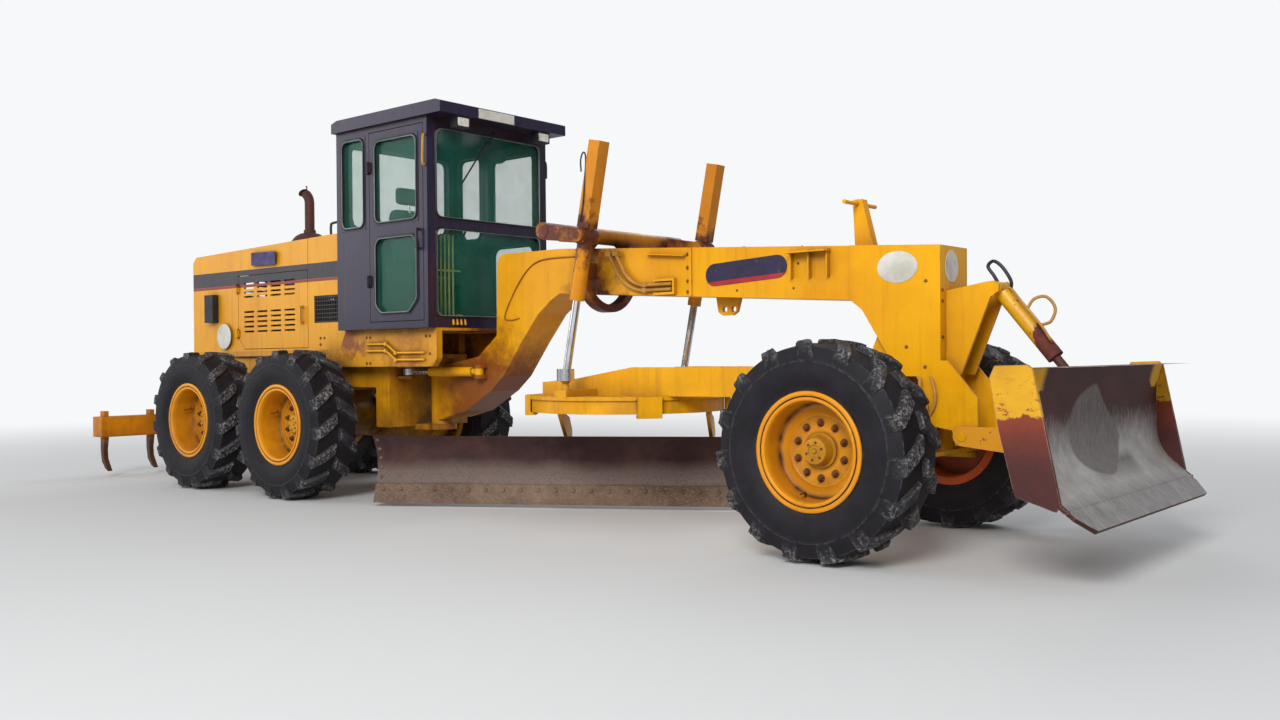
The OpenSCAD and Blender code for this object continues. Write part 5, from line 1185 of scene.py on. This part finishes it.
bolt_group("beam_top_bolts", upper, (0, 0, 1), "front_frame", CUP, 0.5)
face = [(AXLE_X + 0.410, y, z) for y in (-0.17, 0.17) for z in (1.66, 1.59, 1.36)]
bolt_group("nose_face_bolts", face, (1, 0, 0), "front_frame", CUP, 0.6)
stack("nose_disc", disc * [0.72, 0.80, 1.0], pale, "front_frame",
      copies=frames([(AXLE_X + 0.4085, -0.03, 1.815)], (1, 0, 0)))
roof_spots = [(AXLE_X + x, y, ROOF_Z) for x in (-5.0, -4.5, -4.0) for y in (-0.70, 0.70)]
bolt_group("roof_bolts", roof_spots, (0, 0, 1), "rear_frame", CUP, 0.6)
print("bolts set")

# %% [markdown]
# ### Pipes and held hoses
# The thin pipes are held at both ends on one body, so they are plain tubes along a smooth curve
# and not free cords. The loops over the bucket cylinder and the two pale hoses behind the wheel
# follow the photo; the manifold ahead of the cab is a block with short pipes.

# %% Pipes and held hoses
def pipe(name, points, radius, material, body, steps=8, around=10):
    """A tube along a smooth path; x counts from the front axle."""
    shift = np.asarray(points, float) + [AXLE_X, 0, 0]
    return stack(name, tube_rings(smooth_path(shift, steps), radius, around), material, body,
                 crease=60)

hose_black = dull_plastic("black_hose", "#15141A", "#2A2A30", 0.45)
pipe("cylinder_loop", [(0.715, -0.03, 1.700), (0.690, -0.035, 1.745), (0.655, -0.035, 1.800),
                       (0.690, -0.035, 1.832), (0.740, -0.035, 1.800), (0.785, -0.03, 1.735),
                       (0.800, -0.02, 1.690), (0.790, -0.01, 1.655)], 0.011, hose_black, "bucket_barrel")
pipe("cylinder_line", [(0.790, -0.030, 1.660), (0.830, -0.075, 1.640), (0.890, -0.078, 1.565),
                       (1.000, -0.078, 1.430), (1.055, -0.075, 1.345), (1.060, -0.045, 1.320)], 0.008,
     hose_tan, "bucket_barrel")
pipe("cylinder_hose", [(0.880, 0.030, 1.530), (0.905, 0.080, 1.590), (0.975, 0.095, 1.600),
                       (1.030, 0.095, 1.530), (1.010, 0.080, 1.450), (0.965, 0.040, 1.425)], 0.010,
     hose_tan, "bucket_barrel")
pipe("nose_hose_front", [(0.24, -0.188, 1.112), (0.27, -0.212, 1.080), (0.275, -0.216, 1.02),
                         (0.315, -0.214, 0.93), (0.300, -0.205, 0.86), (0.262, -0.196, 0.845)], 0.011,
     hose_tan, "front_frame")
pipe("nose_hose_rear", [(0.330, -0.190, 1.112), (0.352, -0.206, 1.075), (0.372, -0.212, 1.00),
                        (0.368, -0.212, 0.93), (0.330, -0.208, 0.865), (0.285, -0.198, 0.842)], 0.011,
     hose_tan, "front_frame")
pipe("neck_cable", [(-3.420, -0.171, 1.590), (-3.52, -0.1745, 1.575), (-3.60, -0.1745, 1.60),
                    (-3.53, -0.1745, 1.74), (-3.42, -0.1745, 1.89), (-3.30, -0.1745, 2.005),
                    (-3.18, -0.1745, 2.058), (-3.02, -0.1745, 2.072), (-2.76, -0.1745, 2.070)], 0.0055,
     saddle_paint, "front_frame")
for side, name in SIDES:
    y = side * 0.72
    top = [(-2.143, y + side * 0.052, 2.62), (-2.125, y + side * 0.075, 2.70),
           (-2.105, y + side * 0.068, 2.755), (-2.098, y + side * 0.050, 2.70),
           (-2.118, y + side * 0.060, 2.40), (-2.150, y + side * 0.062, 2.25)]
    pipe("lift_loop_" + name, top, 0.006, hose_black, "lift_barrels")
for k in range(4):
    y = -0.30 - 0.045 * k
    reach = [(-4.135, y, 1.560), (-4.10, y, 1.610), (-4.03, y - 0.004, 1.628 - 0.006 * k),
             (-3.975, y, 1.605), (-3.955, y, 1.545)]
    pipe(f"manifold_pipe_{k + 1}", reach, 0.011, yellow, "rear_frame")
print("pipes made")

# %% [markdown]
# ### Exhaust flap and rail
# A rain flap hangs on the mouth of the exhaust, and a small rail stands on the hood beside it.

# %% Exhaust flap and rail
low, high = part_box("exhaust")
mouth = np.array([low[0] + 0.15, 0.5 * (low[1] + high[1]), high[2]])
flap = turned([(0.052, SINK), (0.053, 0.0), (0.050, 0.004), (0.02, 0.008)], 20)
tip = (AXLE_X - 6.562, mouth[1], high[2] - 0.018)
stack("exhaust_flap", flap, pipe_rust, "rear_frame",
      copies=frames([tip], (-0.62, 0.0, 0.78)))
pipe("flap_hook", [(-6.535, mouth[1], high[2] - 0.012), (-6.515, mouth[1], high[2] + 0.006),
                   (-6.505, mouth[1], high[2] + 0.03), (-6.520, mouth[1], high[2] + 0.045)], 0.006,
     pipe_rust, "rear_frame", 5, 8)
hood_z = 2.440                       # the hood's top
rail = [(-5.72, -0.42, hood_z + SINK), (-5.72, -0.42, hood_z + 0.09), (-5.68, -0.42, hood_z + 0.12),
        (-5.42, -0.42, hood_z + 0.12), (-5.38, -0.42, hood_z + 0.09), (-5.38, -0.42, hood_z + SINK)]
pipe("hood_rail", rail, 0.012, iron, "rear_frame", 5)
pipe("hood_rail_low", [(-5.69, -0.30, hood_z + SINK), (-5.66, -0.33, hood_z + 0.055),
                       (-5.55, -0.36, hood_z + 0.065), (-5.45, -0.33, hood_z + 0.05),
                       (-5.42, -0.30, hood_z + SINK)], 0.010, iron, "rear_frame", 5)
print("exhaust top at", round(high[2], 3))
